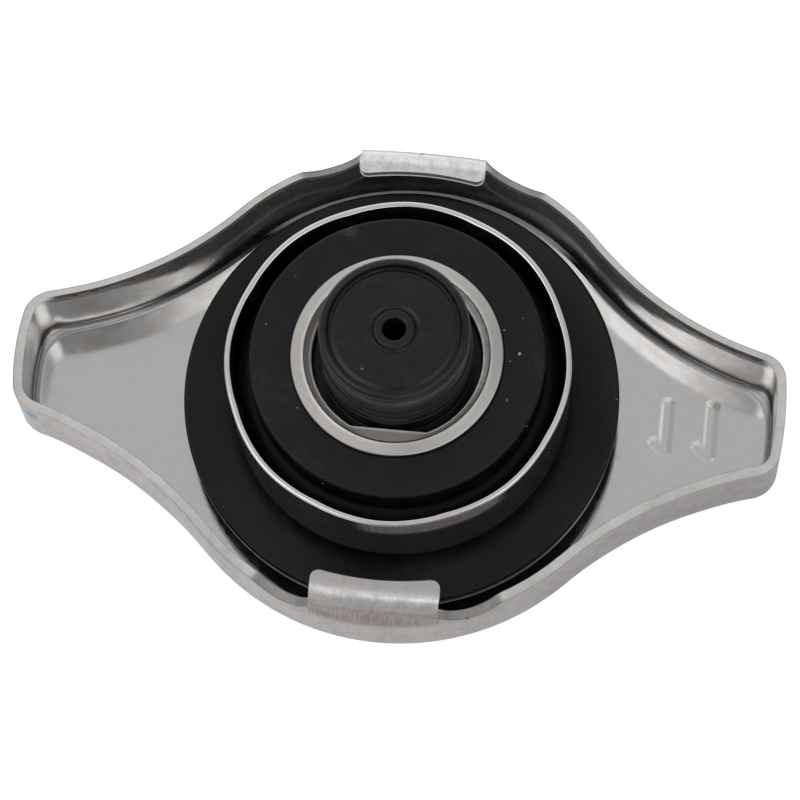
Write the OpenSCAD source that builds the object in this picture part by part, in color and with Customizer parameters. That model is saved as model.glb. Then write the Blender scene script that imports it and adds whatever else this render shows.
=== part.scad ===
// Pressure cap of a cooling system, lying on its outer face with the open side up.
// Millimetres. Z = 0 is the cover's outer face, the ears lie along X and the locking tabs along Y.

/* [Cover] */
// Radius of the round middle
cover_r = 20.6; // [19.5:0.1:23]
// Distance from the centre to the tip of an ear
ear_reach = 31.7; // [29:0.1:35]
// Radius of the hollow flank between the middle and an ear
flank_r = 30; // [24:0.5:40]
// Angle between the ear's axis and the place where the flank leaves the middle
flank_angle = 42.8; // [40:0.2:46]
// Radius of the ear's corners
ear_corner_r = 2.4; // [2.2:0.1:3]
// Thickness of the sheet
sheet_t = 0.8; // [0.6:0.05:1]
// Height of the skirt's rim
skirt_h = 7.7; // [6.5:0.1:9]
// Outside radius of the bend between face and skirt
bend_r = 1.8; // [1.2:0.1:2]
// Radius of the round recess in the middle of the outer face
recess_r = 7; // [6.6:0.1:9]
// Depth of the round recess
recess_d = 1; // [0.9:0.05:1.4]

/* [Locking tabs] */
// Width of a tab
tab_w = 10.7; // [8:0.1:12]
// Height of the tab's face above the rim
tab_rise = 2.3; // [1.8:0.1:3]
// Reach of the tab inwards from its outer face
tab_reach = 2.5; // [2.3:0.1:3.2]
// Outside radius of the tab's bend
tab_bend_r = 1.9; // [1.4:0.1:2.1]
// Radius of the tab's bend line, seen from above
tab_bow_r = 32; // [26:1:45]
// Radius of the tab's free corners
tab_corner_r = 1; // [0.6:0.1:1.4]
// Radius of the relief notch beside a tab
notch_r = 3; // [2.2:0.1:4]
// Depth of the relief notch
notch_d = 1.2; // [0.6:0.1:1.5]

/* [Neck seal] */
// Thickness of the spring disc
seal_spring_t = 0.4; // [0.3:0.05:0.6]
// Radius of the spring disc
seal_spring_r = 18.05; // [16.5:0.05:18.3]
// Thickness of the washer under the gasket, which is also the dish of the spring disc
washer_t = 0.35; // [0.2:0.05:0.6]
// Radius of the gasket
gasket_r = 18.1; // [17:0.1:18.8]
// Thickness of the gasket
gasket_t = 0.9; // [0.7:0.05:1.5]

/* [Cup] */
// Outside radius of the cup
cup_r = 14; // [13.6:0.05:14.6]
// Height of the cup
cup_h = 9.2; // [8.6:0.1:11]
// Wall thickness of the cup
cup_t = 0.55; // [0.4:0.05:0.7]
// Outside radius of the cup's lower corner
cup_corner_r = 1.6; // [1:0.1:2]
// Number of stakes that hold the valve plate
stake_count = 8; // [3:1:10]
// Depth of a stake in the cup's wall
stake_d = 0.55; // [0.45:0.05:0.7]
// Radius of the punch mark
stake_r = 0.5; // [0.4:0.05:0.6]

/* [Rivet] */
// Radius of the stem
rivet_r = 2.5; // [2:0.1:3]
// Radius of the outer head
rivet_head_r = 5; // [4.5:0.1:5.5]
// Thickness of the outer head
rivet_head_t = 0.8; // [0.6:0.05:0.85]
// Radius of the closed head inside the cup
rivet_tail_r = 4.2; // [3.6:0.1:5]
// Thickness of the closed head
rivet_tail_t = 0.9; // [0.6:0.1:1.2]

/* [Pressure valve] */
// Depth of the valve plate's face below the cup's rim
plate_drop = 1.75; // [1.7:0.05:2.2]
// Thickness of the valve plate
plate_t = 0.6; // [0.5:0.05:0.8]
// Height of the plate's turned edge
plate_lip_h = 1.65; // [1.3:0.05:2]
// Radius of the rubber ring
seal_r = 12; // [11:0.1:12.4]
// Height of the rubber ring's face above the cup's rim
seal_proud = 1.2; // [0.6:0.1:2]
// Radius of the eyelet's flange
eyelet_r = 8.6; // [8.3:0.1:10]
// Thickness of the eyelet's sheet
eyelet_t = 0.6; // [0.4:0.05:0.7]
// Inside radius of the eyelet
throat_r = 6.9; // [6.7:0.05:7.2]
// Inside radius of the roll between flange and throat
eyelet_roll_r = 0.3; // [0.2:0.05:0.5]
// Depth of the crimps below the flange's face
crimp_drop = 1.4; // [1.2:0.1:2]
// Distance from the axis to a crimp's straight edge
crimp_r = 6.2; // [6.15:0.05:6.4]
// Number of crimps
crimp_count = 2; // [2:1:5]
// Height of the bead that holds the eyelet in the plate
bead_h = 0.6; // [0.4:0.05:0.8]
// Wire thickness of the pressure spring
pressure_wire = 1.5; // [1.2:0.1:1.7]
// Radius of the pressure spring at the middle of its wire
pressure_coil_r = 10; // [9.4:0.1:10.6]
// Turns of the pressure spring
pressure_turns = 2.6; // [2:0.1:2.8]

/* [Vacuum valve] */
// Radius of the plug
plug_r = 6.05; // [5.6:0.05:6.1]
// Height of the plug above the eyelet's flange
plug_proud = 6.05; // [5:0.05:7]
// Radius of the plug's rounded shoulder
plug_shoulder_r = 0.5; // [0.3:0.05:0.8]
// Radius of the sunken end face
plug_face_r = 5; // [4.4:0.1:5.1]
// Depth of the sunken end face
plug_face_d = 0.4; // [0.2:0.05:0.6]
// Radius of the boss round the port
boss_r = 2; // [1.6:0.1:2.6]
// Radius of the port
port_r = 0.9; // [0.6:0.05:1.2]
// Radius of the spring chamber in the plug
chamber_r = 4.4; // [4.1:0.1:4.7]
// Thickness of the plug's end wall
plug_end_t = 2; // [1.4:0.1:3]
// Radius of the hole that the poppet closes
vacuum_seat_r = 2; // [1.4:0.1:2.6]
// Radius of the poppet
poppet_r = 3.7; // [3.2:0.1:3.9]
// Thickness of the poppet
poppet_t = 0.8; // [0.5:0.05:1.2]
// Thickness of the poppet's rubber face
poppet_face_t = 0.5; // [0.3:0.05:0.8]
// Radius of the poppet's spring spigot
spigot_r = 1.7; // [1.2:0.1:1.9]
// Height of the spigot
spigot_h = 1.2; // [0.8:0.1:1.6]
// Wire thickness of the vacuum spring
vacuum_wire = 0.4; // [0.3:0.05:0.5]
// Radius of the vacuum spring at the middle of its wire
vacuum_coil_r = 2.4; // [2.3:0.05:3]
// Turns of the vacuum spring
vacuum_turns = 6; // [4:1:7]

/* [Clearances] */
// Axial play of the pieces that turn on the rivet
turn_gap = 0.05; // [0.03:0.01:0.1]
// Radial clearance of the pieces that turn on the rivet
rivet_gap = 0.06; // [0.03:0.01:0.09]
// Radial clearance between the valve plate and the cup's wall
slide_gap = 0.25; // [0.2:0.01:0.3]
// Play between the valve plate and the stakes
stop_gap = 0.1; // [0.06:0.01:0.2]
// Radial clearance of pieces that are pushed together
fit_gap = 0.05; // [0.02:0.01:0.08]

/* [Hidden] */
$fn = 64;

steel = [0.74, 0.74, 0.75];
bright_steel = [0.82, 0.82, 0.83];
spring_steel = [0.55, 0.56, 0.58];
rubber = [0.05, 0.05, 0.06];
plastic = [0.08, 0.08, 0.08];

// Small edge roundings of rubber and turned pieces
edge_r = 0.25;
// Width of the sloping side of the recess
recess_slope = 0.8;
// How far the eyelet's flange is pressed into the rubber ring
seal_nest = 0.15;
// How far the bead stands out from the eyelet's wall
bead_out = 0.7;
// Slope at the edges of the plug's boss and sunken face
mould_slope = 0.15;
// A cut runs this far past the faces that it opens
over = 1;

// Heights, built up from the cover's outer face
tab_top = skirt_h + tab_rise;
platform_z = recess_d + sheet_t;
seal_spring_top = platform_z + seal_spring_t;
washer_top = seal_spring_top + washer_t;
gasket_z = washer_top + turn_gap;
gasket_top = gasket_z + gasket_t;
cup_floor = gasket_top + cup_t;
cup_rim = gasket_top + cup_h;
plate_top = cup_rim - plate_drop;
plate_z = plate_top - plate_t;
seal_top = cup_rim + seal_proud;
flange_z = seal_top - seal_nest;
eyelet_top = flange_z + eyelet_t;
vacuum_seat_z = plate_z - bead_h;
crimp_z = eyelet_top - crimp_drop;
plug_top = eyelet_top + plug_proud;
chamber_top = plug_top - plug_end_t;
poppet_z = vacuum_seat_z + poppet_face_t;
poppet_top = poppet_z + poppet_t;

// Radii that follow from their neighbours
running_hole_r = rivet_r + rivet_gap;
plate_r = cup_r - cup_t - slide_gap;
eyelet_outer_r = throat_r + eyelet_t;
eyelet_hole_r = eyelet_outer_r + fit_gap;
plug_base_r = throat_r - fit_gap;

// Steps along each kind of arc of the cover's outline, and round each bend
end_steps = 2;
corner_steps = 7;
flank_steps = 9;
middle_steps = 10;
bend_steps = 5;
round_steps = 4;

function unit(a) = [cos(a), sin(a)];
function heading(v) = atan2(v[1], v[0]);
function arc_points(c, r, a0, a1, steps) = [for (i = [0:steps]) c + r * unit(a0 + (a1 - a0) * i / steps)];

// Cover outline: tangent arcs. Each station is a point and the direction into the sheet's face.
flank_reach = cover_r + flank_r;
flank_c = flank_reach * unit(flank_angle);
corner_reach = ear_reach - ear_corner_r;
corner_gap = flank_r + ear_corner_r;
corner_cos = (corner_reach ^ 2 + flank_reach ^ 2 - corner_gap ^ 2) / (2 * corner_reach * flank_reach);
corner_angle = flank_angle - acos(corner_cos);
corner_c = corner_reach * unit(corner_angle);
flank_end = heading(corner_c - flank_c) + 360;

function stations(c, r, a0, a1, steps, inward) =
    [for (i = [0:steps - 1]) let (a = a0 + (a1 - a0) * i / steps) [c + r * unit(a), inward * unit(a)]];

quarter = concat(
    stations([0, 0], ear_reach, 0, corner_angle, end_steps, -1),
    stations(corner_c, ear_corner_r, corner_angle, heading(flank_c - corner_c), corner_steps, -1),
    stations(flank_c, flank_r, flank_end, flank_angle + 180, flank_steps, 1),
    stations([0, 0], cover_r, flank_angle, 90, middle_steps, -1)
);
middle_station = [[0, cover_r], [0, -1]];
far_quarter = [for (i = [len(quarter) - 1:-1:1]) [for (v = quarter[i]) [-v[0], v[1]]]];
half = concat(quarter, [middle_station], far_quarter);
outline = concat(half, [for (s = half) -s]);

// Section of the sheet as pairs of inset and height, from the outer face over the rim to the inner face
outer_bend_r = min(bend_r, ear_corner_r - edge_r);
inner_bend_r = outer_bend_r - sheet_t;
section = concat(
    arc_points([outer_bend_r, outer_bend_r], outer_bend_r, 270, 180, bend_steps),
    [[0, skirt_h], [sheet_t, skirt_h]],
    arc_points([outer_bend_r, outer_bend_r], inner_bend_r, 180, 270, bend_steps)
);

// Sheet carried round the outline, with its flat face closed by fans from the centre
module pressed_tray() {
    m = len(section);
    n = len(outline);
    ring = [for (s = outline) for (q = section) concat(s[0] + q[0] * s[1], q[1])];
    below = m * n;
    above = below + 1;
    skin = [for (i = [0:n - 1]) for (j = [0:m - 2]) let (a = i * m + j, b = ((i + 1) % n) * m + j)
        each [[a, a + 1, b + 1], [a, b + 1, b]]];
    outer_face = [for (i = [0:n - 1]) [below, i * m, ((i + 1) % n) * m]];
    inner_face = [for (i = [0:n - 1]) [above, ((i + 1) % n) * m + m - 1, i * m + m - 1]];
    points = concat(ring, [[0, 0, 0], [0, 0, sheet_t]]);
    polyhedron(points, concat(skin, outer_face, inner_face), convexity = 6);
}

// Relief notches either side of the tab on the +Y side
module tab_notches() {
    half_chord = sqrt(2 * notch_r * notch_d - notch_d ^ 2);
    swing = asin((tab_w / 2 + half_chord) / cover_r);
    for (side = [-1, 1])
        rotate([0, 0, 90 + side * swing])
            translate([cover_r, 0, skirt_h + notch_r - notch_d])
                rotate([0, 90, 0])
                    cylinder(r = notch_r, h = 4 * sheet_t, center = true);
}

// Locking tab on the +Y side: a bowed angle section, cut to its width with round corners
module locking_tab() {
    face_y = cover_r - sheet_t / 2;
    axis_y = face_y - tab_bow_r;
    root_z = skirt_h - notch_d - sheet_t;
    bend_c = [tab_bow_r - tab_bend_r, tab_top - tab_bend_r];
    corner_x = tab_w / 2 - tab_corner_r;
    edge_y = axis_y + sqrt((tab_bow_r - tab_reach) ^ 2 - corner_x ^ 2);
    sweep = 2 * asin((tab_w / 2 + over) / tab_bow_r);
    intersection() {
        translate([0, axis_y, 0])
            rotate([0, 0, 90 - sweep / 2])
                rotate_extrude(angle = sweep, $fn = 180)
                    polygon(concat(
                        [[tab_bow_r, root_z]],
                        arc_points(bend_c, tab_bend_r, 0, 90, bend_steps),
                        [[tab_bow_r - tab_reach, tab_top], [tab_bow_r - tab_reach, tab_top - sheet_t]],
                        arc_points(bend_c, tab_bend_r - sheet_t, 90, 0, bend_steps),
                        [[tab_bow_r - sheet_t, root_z]]
                    ));
        translate([0, 0, root_z - over])
            linear_extrude(tab_top - root_z + 2 * over)
                polygon(concat(
                    [[tab_w / 2, cover_r + over], [-tab_w / 2, cover_r + over]],
                    arc_points([-corner_x, edge_y + tab_corner_r], tab_corner_r, 180, 270, round_steps),
                    [[0, edge_y - over]],
                    arc_points([corner_x, edge_y + tab_corner_r], tab_corner_r, 270, 360, round_steps)
                ));
    }
}

module cover() {
    platform_r = recess_r + sheet_t;
    color(steel)
        difference() {
            union() {
                difference() {
                    pressed_tray();
                    for (turn = [0, 180])
                        rotate([0, 0, turn]) tab_notches();
                }
                for (turn = [0, 180])
                    rotate([0, 0, turn]) locking_tab();
                translate([0, 0, sheet_t / 2])
                    cylinder(r1 = platform_r, r2 = platform_r - recess_slope, h = platform_z - sheet_t / 2);
            }
            translate([0, 0, -over])
                cylinder(
                    r1 = recess_r + recess_slope * over / recess_d,
                    r2 = recess_r - recess_slope,
                    h = recess_d + over
                );
            cylinder(r = rivet_r + fit_gap, h = platform_z + over);
        }
}

module rivet() {
    tail_z = cup_floor + turn_gap;
    tail_top = tail_z + rivet_tail_t;
    head_z = recess_d - rivet_head_t;
    color(steel)
        rotate_extrude()
            polygon(concat(
                [[0, head_z]],
                arc_points([rivet_head_r - edge_r, head_z + edge_r], edge_r, 270, 360, round_steps),
                [[rivet_head_r, recess_d], [rivet_r, recess_d], [rivet_r, tail_z], [rivet_tail_r, tail_z]],
                arc_points([rivet_tail_r - edge_r, tail_top - edge_r], edge_r, 0, 90, round_steps),
                [[0, tail_top]]
            ));
}

// Flat ring from a hole to a rim, with the rim's two edges rounded
module ring(hole, rim, z, t, round_r) {
    rotate_extrude()
        polygon(concat(
            [[hole, z]],
            arc_points([rim - round_r, z + round_r], round_r, 270, 360, round_steps),
            arc_points([rim - round_r, z + t - round_r], round_r, 0, 90, round_steps),
            [[hole, z + t]]
        ));
}

module rivet_washer() {
    color(steel)
        ring(running_hole_r, rivet_head_r, seal_spring_top, washer_t, washer_t / 4);
}

// Dished disc: flat where it lies on the cover, rising to the gasket's edge
module seal_spring() {
    flat_r = recess_r - recess_slope;
    color(spring_steel)
        rotate_extrude()
            polygon([
                [running_hole_r, platform_z],
                [flat_r, platform_z],
                [seal_spring_r, platform_z + washer_t],
                [seal_spring_r, washer_top],
                [flat_r, seal_spring_top],
                [running_hole_r, seal_spring_top]
            ]);
}

module gasket() {
    color(rubber)
        ring(running_hole_r, gasket_r, gasket_z, gasket_t, edge_r);
}

// Copies of a shape at the stakes, which lie just above the valve plate
module at_stakes() {
    nose_r = cup_r - stake_d + stake_r;
    bump_r = stake_r + cup_t;
    rise = sqrt(bump_r ^ 2 - (nose_r - plate_r) ^ 2);
    for (i = [0:stake_count - 1])
        rotate([0, 0, (i + 0.5) * 360 / stake_count])
            translate([nose_r, 0, plate_top + stop_gap + rise])
                children();
}

module cup() {
    inner_corner_r = cup_corner_r - cup_t;
    corner_c = [cup_r - cup_corner_r, gasket_top + cup_corner_r];
    color(bright_steel)
        difference() {
            union() {
                rotate_extrude($fn = 128)
                    polygon(concat(
                        [[running_hole_r, gasket_top]],
                        arc_points(corner_c, cup_corner_r, 270, 360, bend_steps),
                        [[cup_r, cup_rim], [cup_r - cup_t, cup_rim]],
                        arc_points(corner_c, inner_corner_r, 360, 270, bend_steps),
                        [[running_hole_r, cup_floor]]
                    ));
                intersection() {
                    at_stakes() sphere(r = stake_r + cup_t);
                    translate([0, 0, plate_z])
                        cylinder(r = cup_r - cup_t / 2, h = cup_rim - plate_z - stop_gap);
                }
            }
            at_stakes() sphere(r = stake_r);
        }
}

// Coil of round wire between two heights, swept along a helix
module coil(r, wire, z0, z1, turns, per_turn, sides) {
    n = round(turns * per_turn);
    function wire_point(i, k) =
        let (a = 360 * turns * i / n, b = 360 * k / sides, reach = r + wire / 2 * cos(b))
        [reach * cos(a), reach * sin(a), z0 + wire / 2 + (z1 - z0 - wire) * i / n + wire / 2 * sin(b)];
    points = [for (i = [0:n]) for (k = [0:sides - 1]) wire_point(i, k)];
    skin = [for (i = [0:n - 1]) for (k = [0:sides - 1])
        let (a = i * sides + k, b = i * sides + (k + 1) % sides)
        each [[a, b, b + sides], [a, b + sides, a + sides]]];
    first = [for (k = [0:sides - 1]) sides - 1 - k];
    last = [for (k = [0:sides - 1]) n * sides + k];
    polyhedron(points, concat(skin, [first, last]), convexity = 10);
}

module pressure_spring() {
    color(spring_steel)
        coil(pressure_coil_r, pressure_wire, cup_floor, plate_z, pressure_turns, 20, 10);
}

module valve_plate() {
    turn_r = 2 * plate_t;
    turn_c = [plate_r - turn_r, plate_top - turn_r];
    lip_z = plate_top - plate_lip_h;
    color(steel)
        rotate_extrude($fn = 128)
            polygon(concat(
                [[eyelet_hole_r, plate_z]],
                arc_points(turn_c, turn_r - plate_t, 90, 0, bend_steps),
                [[plate_r - plate_t, lip_z], [plate_r, lip_z]],
                arc_points(turn_c, turn_r, 0, 90, bend_steps),
                [[eyelet_hole_r, plate_top]]
            ));
}

// Rubber ring with a shallow seat for the eyelet's flange
module pressure_seal() {
    nest_r = eyelet_r + fit_gap;
    color(rubber)
        rotate_extrude($fn = 128)
            polygon(concat(
                [[eyelet_hole_r, plate_top]],
                arc_points([seal_r - edge_r, plate_top + edge_r], edge_r, 270, 360, round_steps),
                arc_points([seal_r - edge_r, seal_top - edge_r], edge_r, 0, 90, round_steps),
                [[nest_r, seal_top], [nest_r, flange_z], [eyelet_hole_r + eyelet_roll_r, flange_z]],
                [[eyelet_hole_r, flange_z - eyelet_roll_r]]
            ));
}

// Drawn eyelet: flange, rolled throat, bead under the plate and a bottom that is the vacuum valve's seat
module seal_retainer() {
    roll_c = [eyelet_outer_r + eyelet_roll_r, flange_z - eyelet_roll_r];
    bead_r = eyelet_outer_r + bead_out;
    base_z = vacuum_seat_z - eyelet_t;
    crimp_half = sqrt(throat_r ^ 2 - crimp_r ^ 2);
    color(bright_steel) {
        rotate_extrude()
            polygon(concat(
                [[vacuum_seat_r, base_z], [eyelet_outer_r, base_z], [eyelet_outer_r, plate_z - bead_h]],
                [[bead_r, plate_z - bead_h * 2 / 3], [bead_r, plate_z], [eyelet_outer_r, plate_z]],
                arc_points(roll_c, eyelet_roll_r, 180, 90, round_steps),
                [[eyelet_r, flange_z], [eyelet_r, eyelet_top]],
                arc_points(roll_c, eyelet_roll_r + eyelet_t, 90, 180, bend_steps),
                [[throat_r, vacuum_seat_z], [vacuum_seat_r, vacuum_seat_z]]
            ));
        for (i = [0:crimp_count - 1])
            rotate([0, 0, i * 360 / crimp_count - 90])
                intersection() {
                    translate([crimp_r, -crimp_half - eyelet_t, crimp_z])
                        cube([throat_r, 2 * (crimp_half + eyelet_t), eyelet_t]);
                    cylinder(r = throat_r + eyelet_t / 2, h = eyelet_top);
                }
    }
}

module vacuum_housing() {
    face_z = plug_top - plug_face_d;
    boss_top = plug_top - mould_slope;
    shoulder_c = [plug_r - plug_shoulder_r, plug_top - plug_shoulder_r];
    color(plastic)
        rotate_extrude()
            polygon(concat(
                [[chamber_r, vacuum_seat_z], [plug_base_r, vacuum_seat_z]],
                [[plug_base_r, crimp_z], [plug_r, crimp_z]],
                arc_points(shoulder_c, plug_shoulder_r, 0, 90, bend_steps),
                [[plug_face_r + mould_slope, plug_top], [plug_face_r, face_z], [boss_r, face_z]],
                [[boss_r - mould_slope, boss_top], [port_r, boss_top], [port_r, chamber_top]],
                [[chamber_r, chamber_top]]
            ));
}

module vacuum_disc() {
    color(steel)
        rotate_extrude()
            polygon([
                [0, poppet_z],
                [poppet_r, poppet_z],
                [poppet_r, poppet_top],
                [spigot_r, poppet_top],
                [spigot_r, poppet_top + spigot_h],
                [0, poppet_top + spigot_h]
            ]);
}

module vacuum_face() {
    color(rubber)
        translate([0, 0, vacuum_seat_z])
            cylinder(r = poppet_r, h = poppet_face_t);
}

module vacuum_spring() {
    color(spring_steel)
        coil(vacuum_coil_r, vacuum_wire, poppet_top, chamber_top, vacuum_turns, 14, 6);
}

cover();
rivet();
rivet_washer();
seal_spring();
gasket();
cup();
pressure_spring();
valve_plate();
pressure_seal();
seal_retainer();
vacuum_housing();
vacuum_disc();
vacuum_face();
vacuum_spring();
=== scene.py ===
"""Looks of a radiator cap that lies on its outer face with the valve side up."""

import logging
import math
from dataclasses import dataclass, field
from enum import Enum
from functools import cache
from typing import Callable, NamedTuple

import bmesh
import bpy
import numpy as np
from mathutils import Matrix, Vector


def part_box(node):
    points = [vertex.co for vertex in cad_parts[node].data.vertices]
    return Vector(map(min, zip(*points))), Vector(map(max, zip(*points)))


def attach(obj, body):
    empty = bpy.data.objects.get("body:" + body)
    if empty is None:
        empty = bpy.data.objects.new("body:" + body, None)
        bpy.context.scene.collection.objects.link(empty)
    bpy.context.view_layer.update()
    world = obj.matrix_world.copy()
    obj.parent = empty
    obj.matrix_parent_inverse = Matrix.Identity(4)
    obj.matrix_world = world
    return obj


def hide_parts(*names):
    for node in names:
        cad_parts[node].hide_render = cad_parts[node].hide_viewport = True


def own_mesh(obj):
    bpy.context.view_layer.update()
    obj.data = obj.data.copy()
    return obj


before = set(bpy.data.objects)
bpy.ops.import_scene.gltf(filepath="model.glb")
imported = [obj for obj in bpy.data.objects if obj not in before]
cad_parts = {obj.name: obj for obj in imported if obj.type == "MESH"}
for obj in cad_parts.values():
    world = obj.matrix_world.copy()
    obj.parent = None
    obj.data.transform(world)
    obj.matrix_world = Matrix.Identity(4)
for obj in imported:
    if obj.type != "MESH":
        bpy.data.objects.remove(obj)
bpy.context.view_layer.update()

MM = 0.001
WELD = 2e-4 * MM
SLIVER = 1e-4 * MM
PHOTO_SIDE_PX = 800
log = logging.getLogger("radiator_cap")

Array = np.ndarray
# A change of radius or a mask, as a function of radius, height and angle
Field = Callable[[Array, Array, Array], Array]
Rgb = tuple[float, float, float]
Object = bpy.types.Object
Tree = bpy.types.NodeTree
Socket = bpy.types.NodeSocket
Value = float | tuple | Socket


class Body(Enum):
    """The bodies of the cap that pieces ride on."""

    COVER = "cover_side"
    NECK = "neck_side"
    PRESSURE = "pressure_valve"
    VACUUM = "vacuum_valve"


class Side(Enum):
    """Faces of a pressed sheet, in the order of their material slots."""

    OUTER = 0
    INNER = 1
    CUT = 2


class Span(NamedTuple):
    """Extent of a CAD node in mm: largest X, which is a round node's radius, and lowest and highest Z."""

    reach: float
    foot: float
    top: float


def span(node: str) -> Span:
    """Reads a CAD node's extent from the frame."""
    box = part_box(node)
    return Span(box[1].x / MM, box[0].z / MM, box[1].z / MM)


def unit(degrees: float | Array) -> Array:
    """Direction in the plane at an angle from +X: (cosine, sine)."""
    a = np.radians(degrees)
    return np.stack([np.cos(a), np.sin(a)], -1)


def sky_way(azimuth: float, elevation: float) -> Array:
    """Direction in space; azimuth 0 stands on the -Y side and 90 on the +X side."""
    a, e = math.radians(azimuth), math.radians(elevation)
    return np.array([math.sin(a) * math.cos(e), -math.cos(a) * math.cos(e), math.sin(e)])


def smooth(x: Array, low: float | Array, high: float | Array) -> Array:
    """Smooth step: 0 below low, 1 above high, and 3t^2 - 2t^3 between them."""
    t = np.clip((x - low) / (high - low), 0, 1)
    return t * t * (3 - 2 * t)


def path_mm(points: Array) -> Array:
    """Distance along a line of points from its first one to each."""
    return np.concatenate([[0], np.cumsum(np.linalg.norm(np.diff(points, axis=0), axis=1))])


def wrap(index: Array, rows: int = 0) -> Array:
    """A grid of indices with its first column, and first rows where asked for, repeated at its end."""
    return np.pad(index, ((0, rows), (0, 1)), mode="wrap")


def mask3(x: Array, y: Array | float = 0.0, z: Array | float = 0.0) -> Array:
    """The three parts of a mask side by side."""
    return np.stack(np.broadcast_arrays(x, y, z), -1)


@dataclass
class Skin:
    """Grids of points that are gathered and welded into one closed mesh, in mm."""

    name: str
    points: list[Array] = field(default_factory=list)
    masks: list[Array] = field(default_factory=list)
    quads: list[Array] = field(default_factory=list)
    corners: list[Array] = field(default_factory=list)
    sides: list[Array] = field(default_factory=list)

    def add_points(self, grid: Array, mask: Array | float = 0.0) -> Array:
        """Keeps a grid of points.

        Args:
            grid: Points, shape (rows, columns, 3).
            mask: Three numbers for each point that its material reads.

        Returns:
            The index of each point, shape (rows, columns).
        """
        start = sum(map(len, self.points))
        self.points.append(grid.reshape(-1, 3))
        self.masks.append(np.broadcast_to(mask, grid.shape).reshape(-1, 3))
        return start + np.arange(len(self.points[-1])).reshape(grid.shape[:2])

    def add_faces(self, index: Array, u: Array, v: Array, side: Side = Side.OUTER) -> None:
        """Lays one quad on each cell of a grid of indices.

        Args:
            index: Point indices, shape (rows, columns). A seam repeats its first column at the end.
            u: Place of each column along the sheet in mm.
            v: Place of each row along the sheet in mm.
            side: The face of the sheet, which picks the material slot.
        """
        def cell(a: Array) -> Array:
            """The four corners of every cell, in turn round the cell."""
            return np.stack([a[:-1, :-1], a[:-1, 1:], a[1:, 1:], a[1:, :-1]], 2)

        quads = cell(index).reshape(-1, 4)
        uv = np.stack(np.broadcast_arrays(u[None], v[:, None]), 2)
        self.quads.append(quads)
        self.corners.append(cell(uv).reshape(-1, 4, 2))
        self.sides.append(np.full(len(quads), side.value))

    def to_object(self) -> Object:
        """Makes the mesh, welds seams and poles and turns every face outwards.

        Returns:
            The new object, at the origin.
        """
        points = np.concatenate(self.points) * MM
        quads = np.concatenate(self.quads)
        mesh = bpy.data.meshes.new(self.name)
        mesh.vertices.add(len(points))
        mesh.vertices.foreach_set("co", points.ravel())
        mesh.loops.add(quads.size)
        mesh.loops.foreach_set("vertex_index", quads.ravel())
        mesh.polygons.add(len(quads))
        mesh.polygons.foreach_set("loop_start", np.arange(0, quads.size, 4))
        mesh.polygons.foreach_set("material_index", np.concatenate(self.sides))
        mesh.polygons.foreach_set("use_smooth", np.ones(len(quads), bool))
        mesh.update(calc_edges=True)
        layer = mesh.uv_layers.new(name="Sheet")
        layer.data.foreach_set("uv", np.concatenate(self.corners).ravel())
        mask = mesh.attributes.new("mask", "FLOAT_VECTOR", "POINT")
        mask.data.foreach_set("vector", np.concatenate(self.masks).ravel())
        bm = bmesh.new()
        bm.from_mesh(mesh)
        bmesh.ops.remove_doubles(bm, verts=bm.verts, dist=WELD)
        bmesh.ops.dissolve_degenerate(bm, edges=bm.edges, dist=SLIVER)
        bmesh.ops.recalc_face_normals(bm, faces=bm.faces)
        open_edges = sum(not e.is_manifold for e in bm.edges)
        bm.to_mesh(mesh)
        bm.free()
        mesh.update()
        obj = bpy.data.objects.new(self.name, mesh)
        bpy.context.scene.collection.objects.link(obj)
        log.info("%s: %d faces, %d open edges", self.name, len(mesh.polygons), open_edges)
        return obj


@dataclass
class Section:
    """A line in radius and height that is turned about the Z axis.

    Each corner is (radius, height, fillet). Fillets become arcs, and straight runs get points
    close to their ends, so that flat faces stay flat under smooth shading.
    """

    corners: list[tuple[float, float, float]]
    arc_steps: int = 6
    longest: float = 0.8
    guard: float = 0.06
    closed: bool = True

    def corner(self, i: int) -> Array:
        """The points of one corner.

        Formula: a fillet of radius f in a corner with half angle h starts f / tan(h) before the
        corner, and its centre lies f / sin(h) along the bisector.

        Args:
            i: Number of the corner.

        Returns:
            Points (radius, height), shape (n, 2).
        """
        at = [np.array(self.corners[k % len(self.corners)][:2], float) for k in (i - 1, i, i + 1)]
        f, corner = self.corners[i][2], at[1]
        back, ahead = ((v - corner) / np.linalg.norm(v - corner) for v in (at[0], at[2]))
        half = math.acos(float(np.clip(back @ ahead, -1, 1))) / 2
        if f == 0 or half > math.pi / 2 - 1e-3:
            return corner[None]
        trim, sweep = f / math.tan(half), math.pi - 2 * half
        centre = corner + (back + ahead) / np.linalg.norm(back + ahead) * f / math.sin(half)
        start, end = corner + back * trim - centre, corner + ahead * trim - centre
        t = np.linspace(0, 1, self.arc_steps + 1)[:, None]
        return centre + (np.sin((1 - t) * sweep) * start + np.sin(t * sweep) * end) / math.sin(sweep)

    def run(self, a: Array, b: Array) -> Array:
        """Points between two ends: one close to each end and others at most the longest step apart."""
        length = float(np.linalg.norm(b - a))
        if length < 1e-6:
            return np.zeros((0, 2))
        guard = min(self.guard, length / 4)
        inner = max(2, int(math.ceil((length - 2 * guard) / self.longest)) + 1)
        return a + (b - a) * (np.linspace(guard, length - guard, inner) / length)[:, None]

    def outline(self) -> Array:
        """Points (radius, height) of the whole line with its fillets; the first isn't repeated."""
        parts = [self.corner(i) for i in range(len(self.corners))]
        rows = []
        for i, part in enumerate(parts):
            rows.append(part)
            if self.closed or i + 1 < len(parts):
                rows.append(self.run(part[-1], parts[(i + 1) % len(parts)][0]))
        return np.concatenate(rows)


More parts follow.
